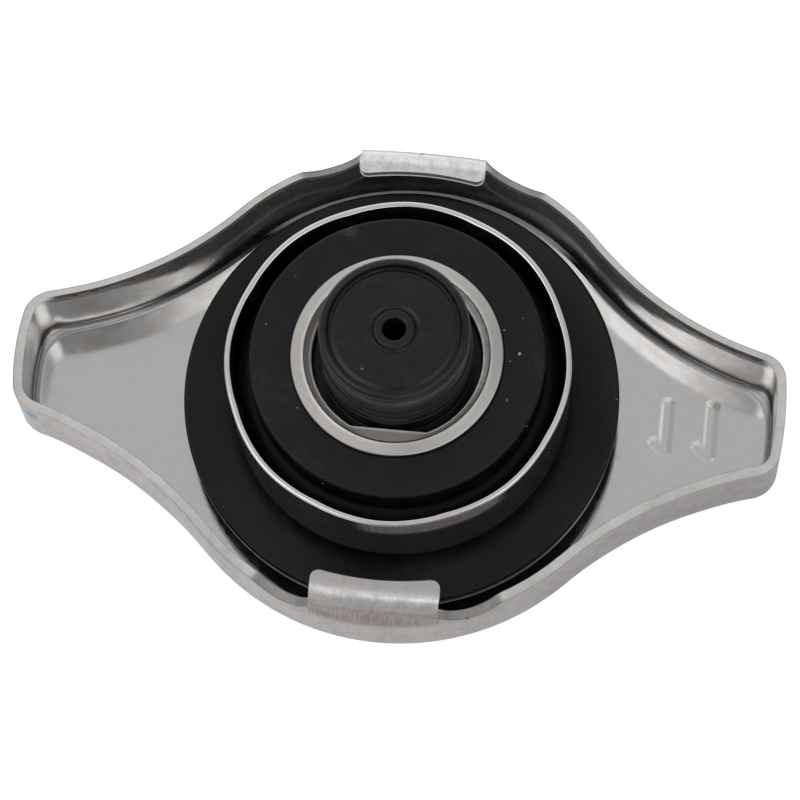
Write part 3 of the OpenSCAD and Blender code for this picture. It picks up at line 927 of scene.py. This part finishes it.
    def tab_rows(self, p: Array, n: Array) -> tuple[Array, Array, Array]:
        """Rows of a tab above its root: a bend and then a lip.

        Formula: with a from 0 to 90 degrees, y = face - R (1 - cos a) and z = root + R sin a. The lip
        runs on at the top to edge - sag (x / half)^2, with corners rounded by c - root of (c^2 - d^2),
        where d is the distance past the corner's centre. The other face lies one sheet further in.

        Args:
            p: Outline points of the tab's stations.
            n: Their normals.

        Returns:
            Points of the outer and the inner face, shape (rows, stations, 3), and a for each row.
        """
        x, side = p[:, 0], np.sign(p[:, 1])
        face = np.abs(p[:, 1]) - self.bow(x)
        past = np.clip(np.abs(x) - (self.tab_half - self.tab_corner_r), 0, self.tab_corner_r)
        corner = self.tab_corner_r - np.sqrt(self.tab_corner_r**2 - past**2)
        edge = self.tab_edge_y - self.tab_edge_sag * (x / self.tab_half) ** 2 + corner + self.rim_round
        bend = np.linspace(0, math.pi / 2, 19)[1:]
        share = np.array(self.lip_shares)[:, None]
        root = self.tab_top - self.tab_bend_r
        bend_y = np.maximum(face - self.tab_bend_r * (1 - np.cos(bend))[:, None], edge)
        lip_y = bend_y[-1] + (edge - bend_y[-1]) * share
        a = np.concatenate([bend, np.full(len(share), math.pi / 2)])[:, None]
        z = root + self.tab_bend_r * np.sin(a) + 0 * x
        outer = np.stack([x + 0 * a, side * np.vstack([bend_y, lip_y]), z], 2)
        turn = smooth(a, 0, 1.2)
        flat_x, flat_y = (1 - turn) * n[:, 0], (1 - turn) * n[:, 1] + turn * side
        tilt = np.stack([flat_x * np.cos(a), flat_y * np.cos(a), np.sin(a) + 0 * x], 2)
        return outer, outer - self.sheet * tilt, a

    def outer_mask(self, z: Array, p: Array, tab_cols: Array) -> Array:
        """Brown streaks on the skirt: faint beside the tabs and strong at their roots, where they are
        partly a painted dark reflection of the leaning face.
        """
        grime = smooth(-np.abs(p[:, 0]), -10.5, -7) * (np.abs(p[:, 1]) > 15)
        stain_and_shade = 0.45 * grime * smooth(z, 4.8, 6.6)
        # Brown at the tabs' roots: streaks that are partly a painted dark reflection of the leaning face.
        stain_and_shade[:, tab_cols] = smooth(z[:, tab_cols], self.lean_z - 0.3, self.lean_z + 0.5)
        return mask3(stain_and_shade)

    def inner_mask(self, grid: Array, p: Array, rim: Array) -> Array:
        """Marks inside: painted shade under the rim and in the ears' corners, dull walls, and a pale
        painted highlight in a strip at their foot.

        Args:
            grid: Points of the inner face.
            p: Outline points of the stations.
            rim: Height of the rim at each station.

        Returns:
            The mask, shape (rows, stations, 3).
        """
        x, y, z = np.moveaxis(grid, 2, 0)
        out, rise = np.abs(p[:, 0]), z - self.sheet
        depth = 0.7 + 1.9 * smooth(-out, -26, -17)
        under_rim = smooth(z - rim, -depth - 0.5, -depth) * (0.88 - 0.2 * smooth(out, 20, 26))
        start = 0.02 - 0.016 * np.maximum(smooth(out, 26, 29), smooth(p[:, 0], 14, 17))
        corner = smooth(rise, start, 3 * start) * smooth(-rise, -0.35, -0.2) * smooth(out, 14, 18)
        # Painted shade: dark under the rim of the far middle and along the corner fillets of the ears.
        painted_shade = under_rim * smooth(-out, -31, -29.5) + (0.75 - 0.25 * smooth(out, 20, 26)) * corner
        # Painted highlight: a pale strip at the foot of the middle walls, where mask Z goes above 1.
        foot = smooth(-out, -16, -11) * smooth(-rise, -0.4, -0.25) * smooth(np.hypot(x, y), 19.0, 19.3)
        return mask3(painted_shade, 0.0, smooth(rise, 0, 0.5) + 2 * foot)

    @staticmethod
    def tab_mask(a: Array, near: bool) -> Array:
        """Marks on a tab's outside: brown at the root, partly a painted reflection, and a painted
        highlight on the bend and the far one's lip; the near one's lip is plain.
        """
        # Painted highlight: a brighter, smoother band on the bend, over all of the far tab's lip too.
        bright = smooth(a, 0.6, 0.85)
        if near:
            bright = bright * (0.12 + 0.88 * smooth(-a, -1.4, -1.15))
        return mask3(smooth(-a, -0.62, -0.2), bright)

    def build(self) -> Object:
        """Builds the sheet's two faces with the tabs, its cut edge and the hole for the rivet.

        Returns:
            The cover.
        """
        p, n, tabs = self.stations(self.corner_r)
        tab_cols = np.concatenate(tabs)
        rim = self.rim_height(p)
        rim[tab_cols] = self.tab_top - self.tab_bend_r + self.rim_round
        outer = self.face(0.0, self.outer_bend_r, rim, tab_cols)
        inner = self.face(self.sheet, self.inner_bend_r, rim, tab_cols)
        masks = self.outer_mask(outer[..., 2], p, tab_cols), self.inner_mask(inner, p, rim)
        around = path_mm(np.vstack([p, p[:1]]))
        skin = Skin("cover_shell")
        sides, grids = (Side.OUTER, Side.INNER), (outer, inner)
        indices = [skin.add_points(grid, mask) for grid, mask in zip(grids, masks)]
        down = [path_mm(grid[:, len(p) // 4]) for grid in grids]
        for index, along, side in zip(indices, down, sides):
            skin.add_faces(wrap(index), around, along, side)
        loops, last = ([], []), 0
        for cols in tabs:
            *lips, a = self.tab_rows(p[cols], n[cols])
            tints = self.tab_mask(a, p[cols[0], 1] < 0), 0.0
            for side, grid, index, lip, tint, loop in zip(sides, grids, indices, lips, tints, loops):
                tab = np.vstack([index[-1:, cols], skin.add_points(lip, tint)])
                along = path_mm(np.concatenate([grid[-1:, cols], lip])[:, len(cols) // 4])
                skin.add_faces(tab, around[cols], down[0][-1] + along, side)
                loop += [index[-1, last:cols[0]], tab[:, 0], tab[-1, 1:-1], tab[::-1, -1]]
            last = cols[-1] + 1
        rims = [np.concatenate([*loop, index[-1, last:]]) for loop, index in zip(loops, indices)]
        self.cut_edge(skin, *rims, self.rim_round)
        self.cut_edge(skin, *(index[0, ::-1] for index in indices), self.hole_round)
        return skin.to_object()

    def cut_edge(self, skin: Skin, outer: Array, inner: Array, corner: float) -> None:
        """Closes the sheet along a loop with a flat cut edge between two small roundings.

        Formula: middle + s u + h away, where u points from the inner to the outer face, away is the
        loop's tangent x u, and (s, h) runs round a quarter circle at each end of the edge. The mask
        darkens the scoops' cut faces and paints shade as a dark line along the inner side of the far rim.

        Args:
            skin: The mesh so far.
            outer: Indices of the loop on the outer face.
            inner: Indices of the loop on the inner face.
            corner: Radius of the roundings in mm.
        """
        points = np.concatenate(skin.points)
        a, b = points[outer], points[inner]
        middle = (a + b) / 2
        half = np.linalg.norm(a - b, axis=1, keepdims=True) / 2
        u = (a - b) / (2 * half)
        tangent = np.roll(middle, -1, 0) - np.roll(middle, 1, 0)
        away = np.cross(tangent, u)
        away /= np.linalg.norm(away, axis=1, keepdims=True)
        turn = np.concatenate([np.linspace(0, 90, 6), [90, 90], np.linspace(90, 180, 6)])
        side = np.repeat([1.0, -0.35, -0.55, -1.0], [6, 1, 1, 6])
        c, h = (corner * v for v in unit(turn).T)
        s = side[:, None] * (half.T - corner) + c[:, None]
        grid = middle[None] + s[..., None] * u[None] + h[:, None, None] * away[None]
        x, y, z = np.moveaxis(grid, 2, 0)
        scoop = smooth(self.rim_z - z, 0.1, 0.5) * (z > 4)
        # Painted shade: a dark line along the inner side of the far rim.
        line = (side < -0.5)[:, None] * smooth(y, 2, 6) * smooth(-np.abs(x), -30.5, -28)
        line = line * (z < self.rim_z + 0.2) * (z > 4)
        index = wrap(skin.add_points(grid, mask3(0.5 * scoop + 3 * line)))
        run = np.concatenate([[0], np.cumsum(np.linalg.norm(tangent, axis=1) / 2)])
        skin.add_faces(index, run, path_mm(np.column_stack([s[:, 0], h])), Side.CUT)


@dataclass
class NeckSide:
    """What turns against the cover: spring disc, gasket and cup, with the rivet that holds them."""

    hole_r: float = 2.56
    rivet_r: float = 2.5
    rivet_head_t: float = 0.8
    rivet_tail_t: float = 0.9
    rivet_tail_r: float = 4.2
    cup_t: float = 0.55
    cup_bend: float = 1.6
    stake_count: int = 8
    stake_d: float = 0.4
    stake_size: float = 0.75
    stake_z: float = 11.5
    lobe: float = 0.06
    dish_r: float = 13.0
    dish: float = 1.25
    disc_t: float = 0.4
    disc_flat_r: float = 6.2
    spring_travel: float = 2.2

    def cup_shift(self, r: Array, z: Array, angle: Array) -> Array:
        """Change of the cup's radius: eight soft lobes, an oval rim and a stake bump at each hollow inside.

        Formula: lobe (cos(8 a) + cos(2 a)) rising towards the rim, minus depth exp(-(d / size)^2) on the
        inner face, where d is the distance from the nearest stake.
        """
        rim, inside = span("cup").top, smooth(-r, -13.85, -13.5)
        lobe = self.lobe * (np.cos(self.stake_count * angle) + np.cos(2 * angle)) * smooth(z, rim - 4, rim)
        pitch = 2 * math.pi / self.stake_count
        off = (angle % pitch) - pitch / 2
        far = ((off * r) ** 2 + (z - self.stake_z) ** 2) / self.stake_size**2
        return smooth(r, 11.5, 13.0) * (lobe - (0.15 + 0.85 * inside) * self.stake_d * np.exp(-far))

    @staticmethod
    def cup_painted_reflection(r: Array, z: Array, angle: Array) -> Array:
        """Painted reflection: a dull brown strip under the rim on the near side."""
        swing = np.degrees((angle + math.pi) % (2 * math.pi) - math.pi)
        strip = smooth(swing, -100, -88) * smooth(-swing, 44, 56) * smooth(z, 10.3, 11.3)
        return mask3(strip * (r > 13.9))

    @staticmethod
    def disc_painted_shade(r: Array, z: Array, angle: Array) -> Array:
        """Painted shade: the spring disc is near black everywhere but on its bright edge."""
        reach = span("seal_spring").reach
        return mask3(4.0 * smooth(-r, 0.02 - reach, 0.1 - reach) + 0 * angle)

    def build(self) -> None:
        """Builds and places the pieces."""
        hole, flat, dish_r, dish = self.hole_r, self.disc_flat_r, self.dish_r, self.dish
        (r, z0, z1), t = span("cup"), self.cup_t
        turned("cup_shell", Place("cup", Body.NECK, "cup_steel", (CUP_STEEL,)), 360, Section([
            (hole, z0, 0), (r, z0, self.cup_bend), (r, z1, 0.2), (r - t, z1, 0.2),
            (r - t, z0 + t, self.cup_bend - t), (hole, z0 + t, 0),
        ], arc_steps=8, longest=0.3), self.cup_shift, self.cup_painted_reflection)

        r, z0, z1 = span("gasket")
        turned("gasket_ring", Place("gasket", Body.NECK, "gasket_rubber", (GASKET_RUBBER,)), 256, Section([
            (hole, z0, 0), (dish_r, z0, 4), (r, z0 + dish, 0.2), (r, z1 + dish, 0.25),
            (dish_r, z1, 4), (hole, z1, 0),
        ]))

        (r, z0, z1), t = span("seal_spring"), self.disc_t
        knee = z0 + (z1 - z0 - t) / 2
        turned("spring_disc", Place("seal_spring", Body.COVER, "spring_steel", (DISC_STEEL,)), 256, Section([
            (hole, z0, 0), (flat, z0, 1.0), (dish_r, knee, 3), (r, z1 - t + dish, 0.08),
            (r, z1 + dish, 0.08), (dish_r, knee + t, 3), (flat, z0 + t, 1.0), (hole, z0 + t, 0),
        ]), mask=self.disc_painted_shade)

        r, z0, z1 = span("rivet_washer")
        turned("washer_ring", Place("rivet_washer", Body.COVER, "rivet_steel", (PLAIN_STEEL,)), 128, Section([
            (hole, z0, 0.05), (r, z0, 0.08), (r, z1, 0.08), (hole, z1, 0.05),
        ]))

        r, z0, z1 = span("rivet")
        neck, tail_r = self.rivet_r, self.rivet_tail_r
        head_z, tail_z = z0 + self.rivet_head_t, z1 - self.rivet_tail_t
        turned("rivet_shank", Place("rivet", Body.COVER, "rivet_steel", (PLAIN_STEEL,)), 128, Section([
            (0, z0, 0), (r, z0, 0.35), (r, head_z, 0.1), (neck, head_z, 0),
            (neck, tail_z, 0), (tail_r, tail_z, 0.1), (tail_r, z1, 0.35), (0, z1, 0),
        ], closed=False))

        _, z0, z1 = span("pressure_spring")
        at = Place("pressure_spring", Body.NECK, "spring_steel", (SPRING_STEEL,))
        spring = at.tie(coil("pressure_coil", at.node, r=10.0, wire=1.5, turns=2.6))
        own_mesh(spring)


@dataclass
class PressureValve:
    """The valve plate with its rubber ring, eyelet, plug and small spring."""

    hole_r: float = 7.55
    plate_t: float = 0.6
    edge_r: float = 0.3
    seal_cut: float = 0.3
    seal_play: float = 0.05
    eyelet_t: float = 0.6
    throat_r: float = 6.9
    crest_r: float = 7.5
    crest_h: float = 0.16
    flange_drop: float = 0.05
    seat_r: float = 2.0
    bead_h: float = 0.6
    bead_out: float = 0.35
    crimp_r: float = 6.2
    crimp_count: int = 2
    crimp_foot: float = 13.05
    plug_r: float = 6.05
    base_r: float = 6.85
    base_top: float = 12.95
    ring_z: tuple[float, ...] = (14.9, 15.9, 16.9)
    ring_out: float = 0.14
    ring_half: float = 0.22
    shoulder_r: float = 0.55
    face_r: float = 5.0
    face_d: float = 0.4
    face_slope: float = 0.4
    groove_d: float = 0.12
    boss_r: float = 1.65
    boss_drop: float = 0.15
    port_r: float = 0.9
    chamber_r: float = 4.4
    chamber_top: float = 18.4
    spring_travel: float = 1.5

    def crimp_shift(self, r: Array, z: Array, angle: Array) -> Array:
        """Change of the throat's radius at the crimps, each a flat chord pressed in over a short height.

        Formula: min(0, chord / cos(off) - throat), growing from the crest inwards and from the
        crimp's foot upwards.
        """
        pitch = 2 * math.pi / self.crimp_count
        off = (angle + math.pi / 2 + pitch / 2) % pitch - pitch / 2
        chord = np.minimum(self.crimp_r / np.cos(off) - self.throat_r, 0)
        throat = smooth(-r, -self.throat_r - self.eyelet_t, -self.throat_r - 0.05) * (r > self.throat_r - 0.1)
        return chord * throat * smooth(z, self.crimp_foot, self.crimp_foot + 0.4)

    def eyelet_mask(self, r: Array, z: Array, angle: Array) -> Array:
        """Where the eyelet is dull: inside its crest, and as painted shade on the flange on the near
        left; and where it has a painted highlight: on its crest and on the slope on the right.
        """
        top, crest_r = span("seal_retainer").top, self.crest_r
        slope = smooth(-r, -crest_r, 0.1 - crest_r) * smooth(z, top - 0.6, top - 0.4) + 0 * angle
        # Painted highlight along the crest.
        crest = np.exp(-(((r - crest_r - 0.05) / 0.15) ** 2)) * (z > top)
        # Painted highlight on the slope on the right.
        lit = slope * smooth(np.cos(angle - math.radians(20)), 0.6, 0.9)
        # Painted shade: the flange turns dull on the near left.
        flange = 0.6 * smooth(r, crest_r + 0.15, crest_r + 0.3) * (z > top - 0.2)
        flange = flange * smooth(np.cos(angle - math.radians(215)), 0.4, 0.95)
        return mask3(1.2 * slope + flange, np.clip(0.45 * crest + lit, 0, 1))

    @staticmethod
    def seal_mask(r: Array, z: Array, angle: Array) -> Array:
        """Where the rubber ring has no sheen: its side."""
        reach = span("pressure_seal").reach
        return mask3(smooth(r, reach - 0.12, reach - 0.02) + 0 * angle)

    @staticmethod
    def plug_mask(r: Array, z: Array, angle: Array) -> Array:
        """Where the plug is glossy: its side, below the shoulder."""
        top = span("vacuum_housing").top
        return mask3(0.0, smooth(-z, 0.2 - top, 0.9 - top) + 0 * angle)

    def build(self) -> None:
        """Builds and places the pieces."""
        (r, lip, top), t, hole = span("valve_plate"), self.plate_t, self.hole_r
        under = top - t
        turned("plate_dish", Place("valve_plate", Body.PRESSURE, "cup_steel", (DARK_STEEL,)), 192, Section([
            (hole, under, 0), (r - t, under, t), (r - t, lip, 0.1),
            (r, lip, 0.1), (r, top, 2 * t), (hole, top, 0),
        ]))

        r, z0, z1 = span("pressure_seal")
        eye_r, foot, eye_top = span("seal_retainer")
        flange, step_r, cut = eye_top - self.eyelet_t, eye_r + self.seal_play, self.seal_cut
        at = Place("pressure_seal", Body.PRESSURE, "seal_rubber", (SEAL_RUBBER,))
        turned("seal_ring", at, 256, Section([
            (hole, z0, 0), (r, z0, self.edge_r), (r, z1, self.edge_r), (step_r, z1, 0.08),
            (step_r, flange, 0), (hole + cut, flange, 0), (hole, flange - cut, 0),
        ]), mask=self.seal_mask)

        throat, inside = self.throat_r, foot + self.eyelet_t
        outer, crest = throat + self.eyelet_t, eye_top + self.crest_h
        bead_r = outer + self.bead_out
        at = Place("seal_retainer", Body.PRESSURE, "eyelet_steel", (EYELET_STEEL,))
        turned("eyelet_shell", at, 320, Section([
            (self.seat_r, foot, 0.1), (outer, foot, 0.3), (outer, under - self.bead_h, 0),
            (bead_r, under - self.bead_h * 2 / 3, 0.05), (bead_r, under, 0),
            (outer, under, 0), (outer, flange, 0.3), (eye_r, flange, 0.08),
            (eye_r, eye_top - self.flange_drop, 0.15), (self.crest_r, crest, 0.22),
            (throat + 0.2, crest - 0.7, 0.1), (throat + 0.08, crest - 0.62, 0.06),
            (throat, eye_top - 0.2, 0.06), (throat, inside, 0.3), (self.seat_r, inside, 0.1),
        ], arc_steps=8, longest=0.2, guard=0.03), self.crimp_shift, self.eyelet_mask)

        _, foot, top = span("vacuum_housing")
        plug_r, base_r, face_r, boss_r = self.plug_r, self.base_r, self.face_r, self.boss_r
        face, boss_top = top - self.face_d, top - self.boss_drop
        groove = face - self.groove_d
        ring = ((0, -self.ring_half, 0), (self.ring_out, 0, 0.05), (0, self.ring_half, 0))
        rings = [(plug_r + out, z + dz, fillet) for z in self.ring_z for out, dz, fillet in ring]
        at = Place("vacuum_housing", Body.PRESSURE, "plug_plastic", (PLUG_PLASTIC,))
        turned("plug_body", at, 256, Section([
            (self.chamber_r, foot, 0.1), (base_r, foot, 0.1), (base_r, self.base_top, 0.1),
            (plug_r, self.base_top, 0.12), *rings, (plug_r, top, self.shoulder_r),
            (face_r + self.face_slope, top, 0.15), (face_r + 0.2, groove, 0.12), (face_r - 0.2, face, 0.25),
            (boss_r + 0.5, face, 0.3), (boss_r + 0.22, groove, 0.16), (boss_r - 0.1, boss_top, 0.25),
            (self.port_r, boss_top, 0.25), (self.port_r, self.chamber_top, 0),
            (self.chamber_r, self.chamber_top, 0.2),
        ], arc_steps=8), mask=self.plug_mask)

        _, z0, z1 = span("vacuum_spring")
        at = Place("vacuum_spring", Body.PRESSURE, "spring_steel", (DARK_STEEL,))
        spring = at.tie(coil("vacuum_coil", at.node, r=2.4, wire=0.4, turns=6))
        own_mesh(spring)


@dataclass
class VacuumValve:
    """The small poppet with its rubber face."""

    spigot_r: float = 1.7
    spigot_h: float = 1.2

    def build(self) -> None:
        """Builds and places the pieces."""
        r, z0, z1 = span("vacuum_disc")
        step = z1 - self.spigot_h
        turned("poppet_disc", Place("vacuum_disc", Body.VACUUM, "rivet_steel", (DARK_STEEL,)), 96, Section([
            (0, z0, 0), (r, z0, 0.1), (r, step, 0.15),
            (self.spigot_r, step, 0.1), (self.spigot_r, z1, 0.2), (0, z1, 0),
        ], closed=False))
        r, z0, z1 = span("vacuum_face")
        turned("poppet_face", Place("vacuum_face", Body.VACUUM, "seal_rubber", (SEAL_RUBBER,)), 96, Section([
            (0, z0, 0), (r, z0, 0.12), (r, z1, 0.05), (0, z1, 0),
        ], closed=False))


@dataclass(frozen=True)
class PhotoCamera:
    """The camera that sees the cap as the photograph does, found by fitting its circles and outline."""

    tilt: float = 19.387
    roll: float = -6.403
    azimuth: float = -12.207
    offset_mm: tuple[float, float, float] = (0.273, 1.035, 300.0)
    focal_px: float = 3559.3
    sensor_mm: float = 36.0

    def rotation(self) -> Array:
        """Rows of the camera's axes: right, down and forward."""
        (ct, st), (cr, sr), (ca, sa) = unit(np.array([self.tilt, self.roll, self.azimuth]))
        lean = np.array([[1, 0, 0], [0, -ct, -st], [0, st, -ct]])
        spin = np.array([[cr, -sr, 0], [sr, cr, 0], [0, 0, 1]])
        turn = np.array([[ca, -sa, 0], [sa, ca, 0], [0, 0, 1]])
        return spin @ lean @ turn

    def place(self) -> None:
        """Makes the camera and hands it to the scene."""
        axes = self.rotation()
        eye = -axes.T @ np.array(self.offset_mm) * MM
        data = bpy.data.cameras.new("PhotoCamera")
        data.sensor_width = self.sensor_mm
        data.lens = self.focal_px * self.sensor_mm / PHOTO_SIDE_PX
        data.clip_start, data.clip_end = 0.01, 10.0
        camera = bpy.data.objects.new("PhotoCamera", data)
        matrix = Matrix((np.diag([1, -1, -1]) @ axes).T.tolist()).to_4x4()
        matrix.translation = eye.tolist()
        camera.matrix_world = matrix
        bpy.context.scene.collection.objects.link(camera)
        bpy.context.scene.camera = camera


@dataclass(frozen=True)
class Lamp:
    """A square soft lamp that looks at the cap."""

    name: str
    azimuth: float
    elevation: float
    distance: float
    size: float
    power: float

    def place(self) -> None:
        """Adds the lamp."""
        spot = Vector(sky_way(self.azimuth, self.elevation) * self.distance)
        data = bpy.data.lights.new(self.name, "AREA")
        data.size = self.size
        data.energy = self.power
        lamp = bpy.data.objects.new(self.name, data)
        lamp.location = spot
        lamp.rotation_mode = "QUATERNION"
        lamp.rotation_quaternion = (-spot.normalized()).to_track_quat("-Z", "Y")
        bpy.context.scene.collection.objects.link(lamp)


@dataclass(frozen=True)
class Patch:
    """A soft round patch of the dome that is brighter or darker than the rest, in degrees."""

    azimuth: float
    elevation: float
    full: float
    fade: float
    level: float

    def over(self, s: NodeSheet, way: Socket, shade: Socket) -> Socket:
        """Adds the patch to the dome's brightness.

        Args:
            s: The world's nodes.
            way: Direction that is looked in.
            shade: The brightness so far.

        Returns:
            The brightness with the patch.
        """
        middle = tuple(sky_way(self.azimuth, self.elevation))
        near = s.vector("DOT_PRODUCT", way, middle, output="Value")
        ends = [math.cos(math.radians(v)) for v in (self.fade, self.full)]
        return s.plus(shade, s.ramp(near, *ends, 0.0, self.level))


@dataclass
class Studio:
    """Pale floor, soft dome and lamps."""

    floor_half: float = 0.6
    floor_sink: float = 0.00002
    floor_grey: float = 0.5
    floor_rough: float = 0.9
    floor_glow: float = 0.78
    floor_gloss: tuple[float, float] = (0.66, 0.34)
    gloss_span: tuple[float, float] = (-0.02, 0.04)
    dome: float = 0.62
    horizon: float = 0.42
    patches: tuple[Patch, ...] = (
        Patch(12.1, 70.8, 5, 11, -0.45),
        Patch(-72, 66, 8, 18, 1.0),
        Patch(72, 66, 7, 15, 0.8),
        Patch(16, 52, 5, 11, 1.6),
        Patch(-130, 59, 5, 10, 0.45),
        Patch(133, 61, 5, 10, -0.12),
        Patch(192, 8, 30, 60, 0.5),
        Patch(30, 27, 10, 26, 0.45),
    )
    lamps: tuple[Lamp, ...] = (
        Lamp("LeftBox", -70, 48, 0.6, 0.5, 0.5),
        Lamp("RightBox", 75, 52, 0.6, 0.5, 0.3),
    )

    def build(self) -> None:
        """Builds floor, world and lamps."""
        scene = bpy.context.scene
        scene.view_settings.view_transform = "Standard"
        for lamp in self.lamps:
            lamp.place()
        self.floor()
        world = bpy.data.worlds.new("Dome")
        world.use_nodes = True
        scene.world = world
        s = NodeSheet(world.node_tree)
        background = world.node_tree.nodes["Background"].inputs
        background["Color"].default_value = (1, 1, 1, 1)
        way = s.node("TexCoord").outputs["Generated"]
        shade = s.ramp(s.parts(way)[2], 0.4, 0.85, self.horizon, self.dome)
        for patch in self.patches:
            shade = patch.over(s, way, shade)
        seen = s.node("LightPath").outputs["Is Camera Ray"]
        level = s.node("Mix", {0: seen, 2: shade, 3: 1.0}, data_type="FLOAT").outputs[0]
        s.feed(background["Strength"], level)

    def floor(self) -> None:
        """A pale floor: white to the camera, with the cap's soft shadow left in it."""
        h = self.floor_half
        mesh = bpy.data.meshes.new("Floor")
        mesh.from_pydata([(-h, -h, 0), (h, -h, 0), (h, h, 0), (-h, h, 0)], [], [(0, 1, 2, 3)])
        obj = bpy.data.objects.new("Floor", mesh)
        obj.location.z = -self.floor_sink
        bpy.context.scene.collection.objects.link(obj)
        material, s, shader = start_material("PaleFloor")
        shader.inputs["Base Color"].default_value = (*[self.floor_grey] * 3, 1)
        shader.inputs["Roughness"].default_value = self.floor_rough
        path = s.node("LightPath").outputs
        x = s.parts(s.node("TexCoord").outputs["Object"])[0]
        seen = s.times(path["Is Camera Ray"], self.floor_glow)
        # Painted shade: the floor seen in mirrors glows less on its +X side than on its -X side.
        mirrored = s.times(path["Is Glossy Ray"], s.ramp(x, *self.gloss_span, *self.floor_gloss))
        glow = s.node("Emission", {"Color": (1, 1, 1, 1), "Strength": s.plus(seen, mirrored)})
        total = s.node("AddShader", {0: shader.outputs[0], 1: glow.outputs[0]})
        s.feed(material.node_tree.nodes["Material Output"].inputs["Surface"], total.outputs[0])
        mesh.materials.append(material)


def main() -> None:
    """Builds the cap, its studio and its camera."""
    logging.basicConfig(level=logging.INFO, format="%(message)s")
    Place("cover", Body.COVER, "cover_steel", (DRAWN_STEEL, FLOOR_STEEL, CUT_STEEL)).tie(Cover().build())
    NeckSide().build()
    PressureValve().build()
    VacuumValve().build()
    Studio().build()
    PhotoCamera().place()


if __name__ == "__main__":
    main()
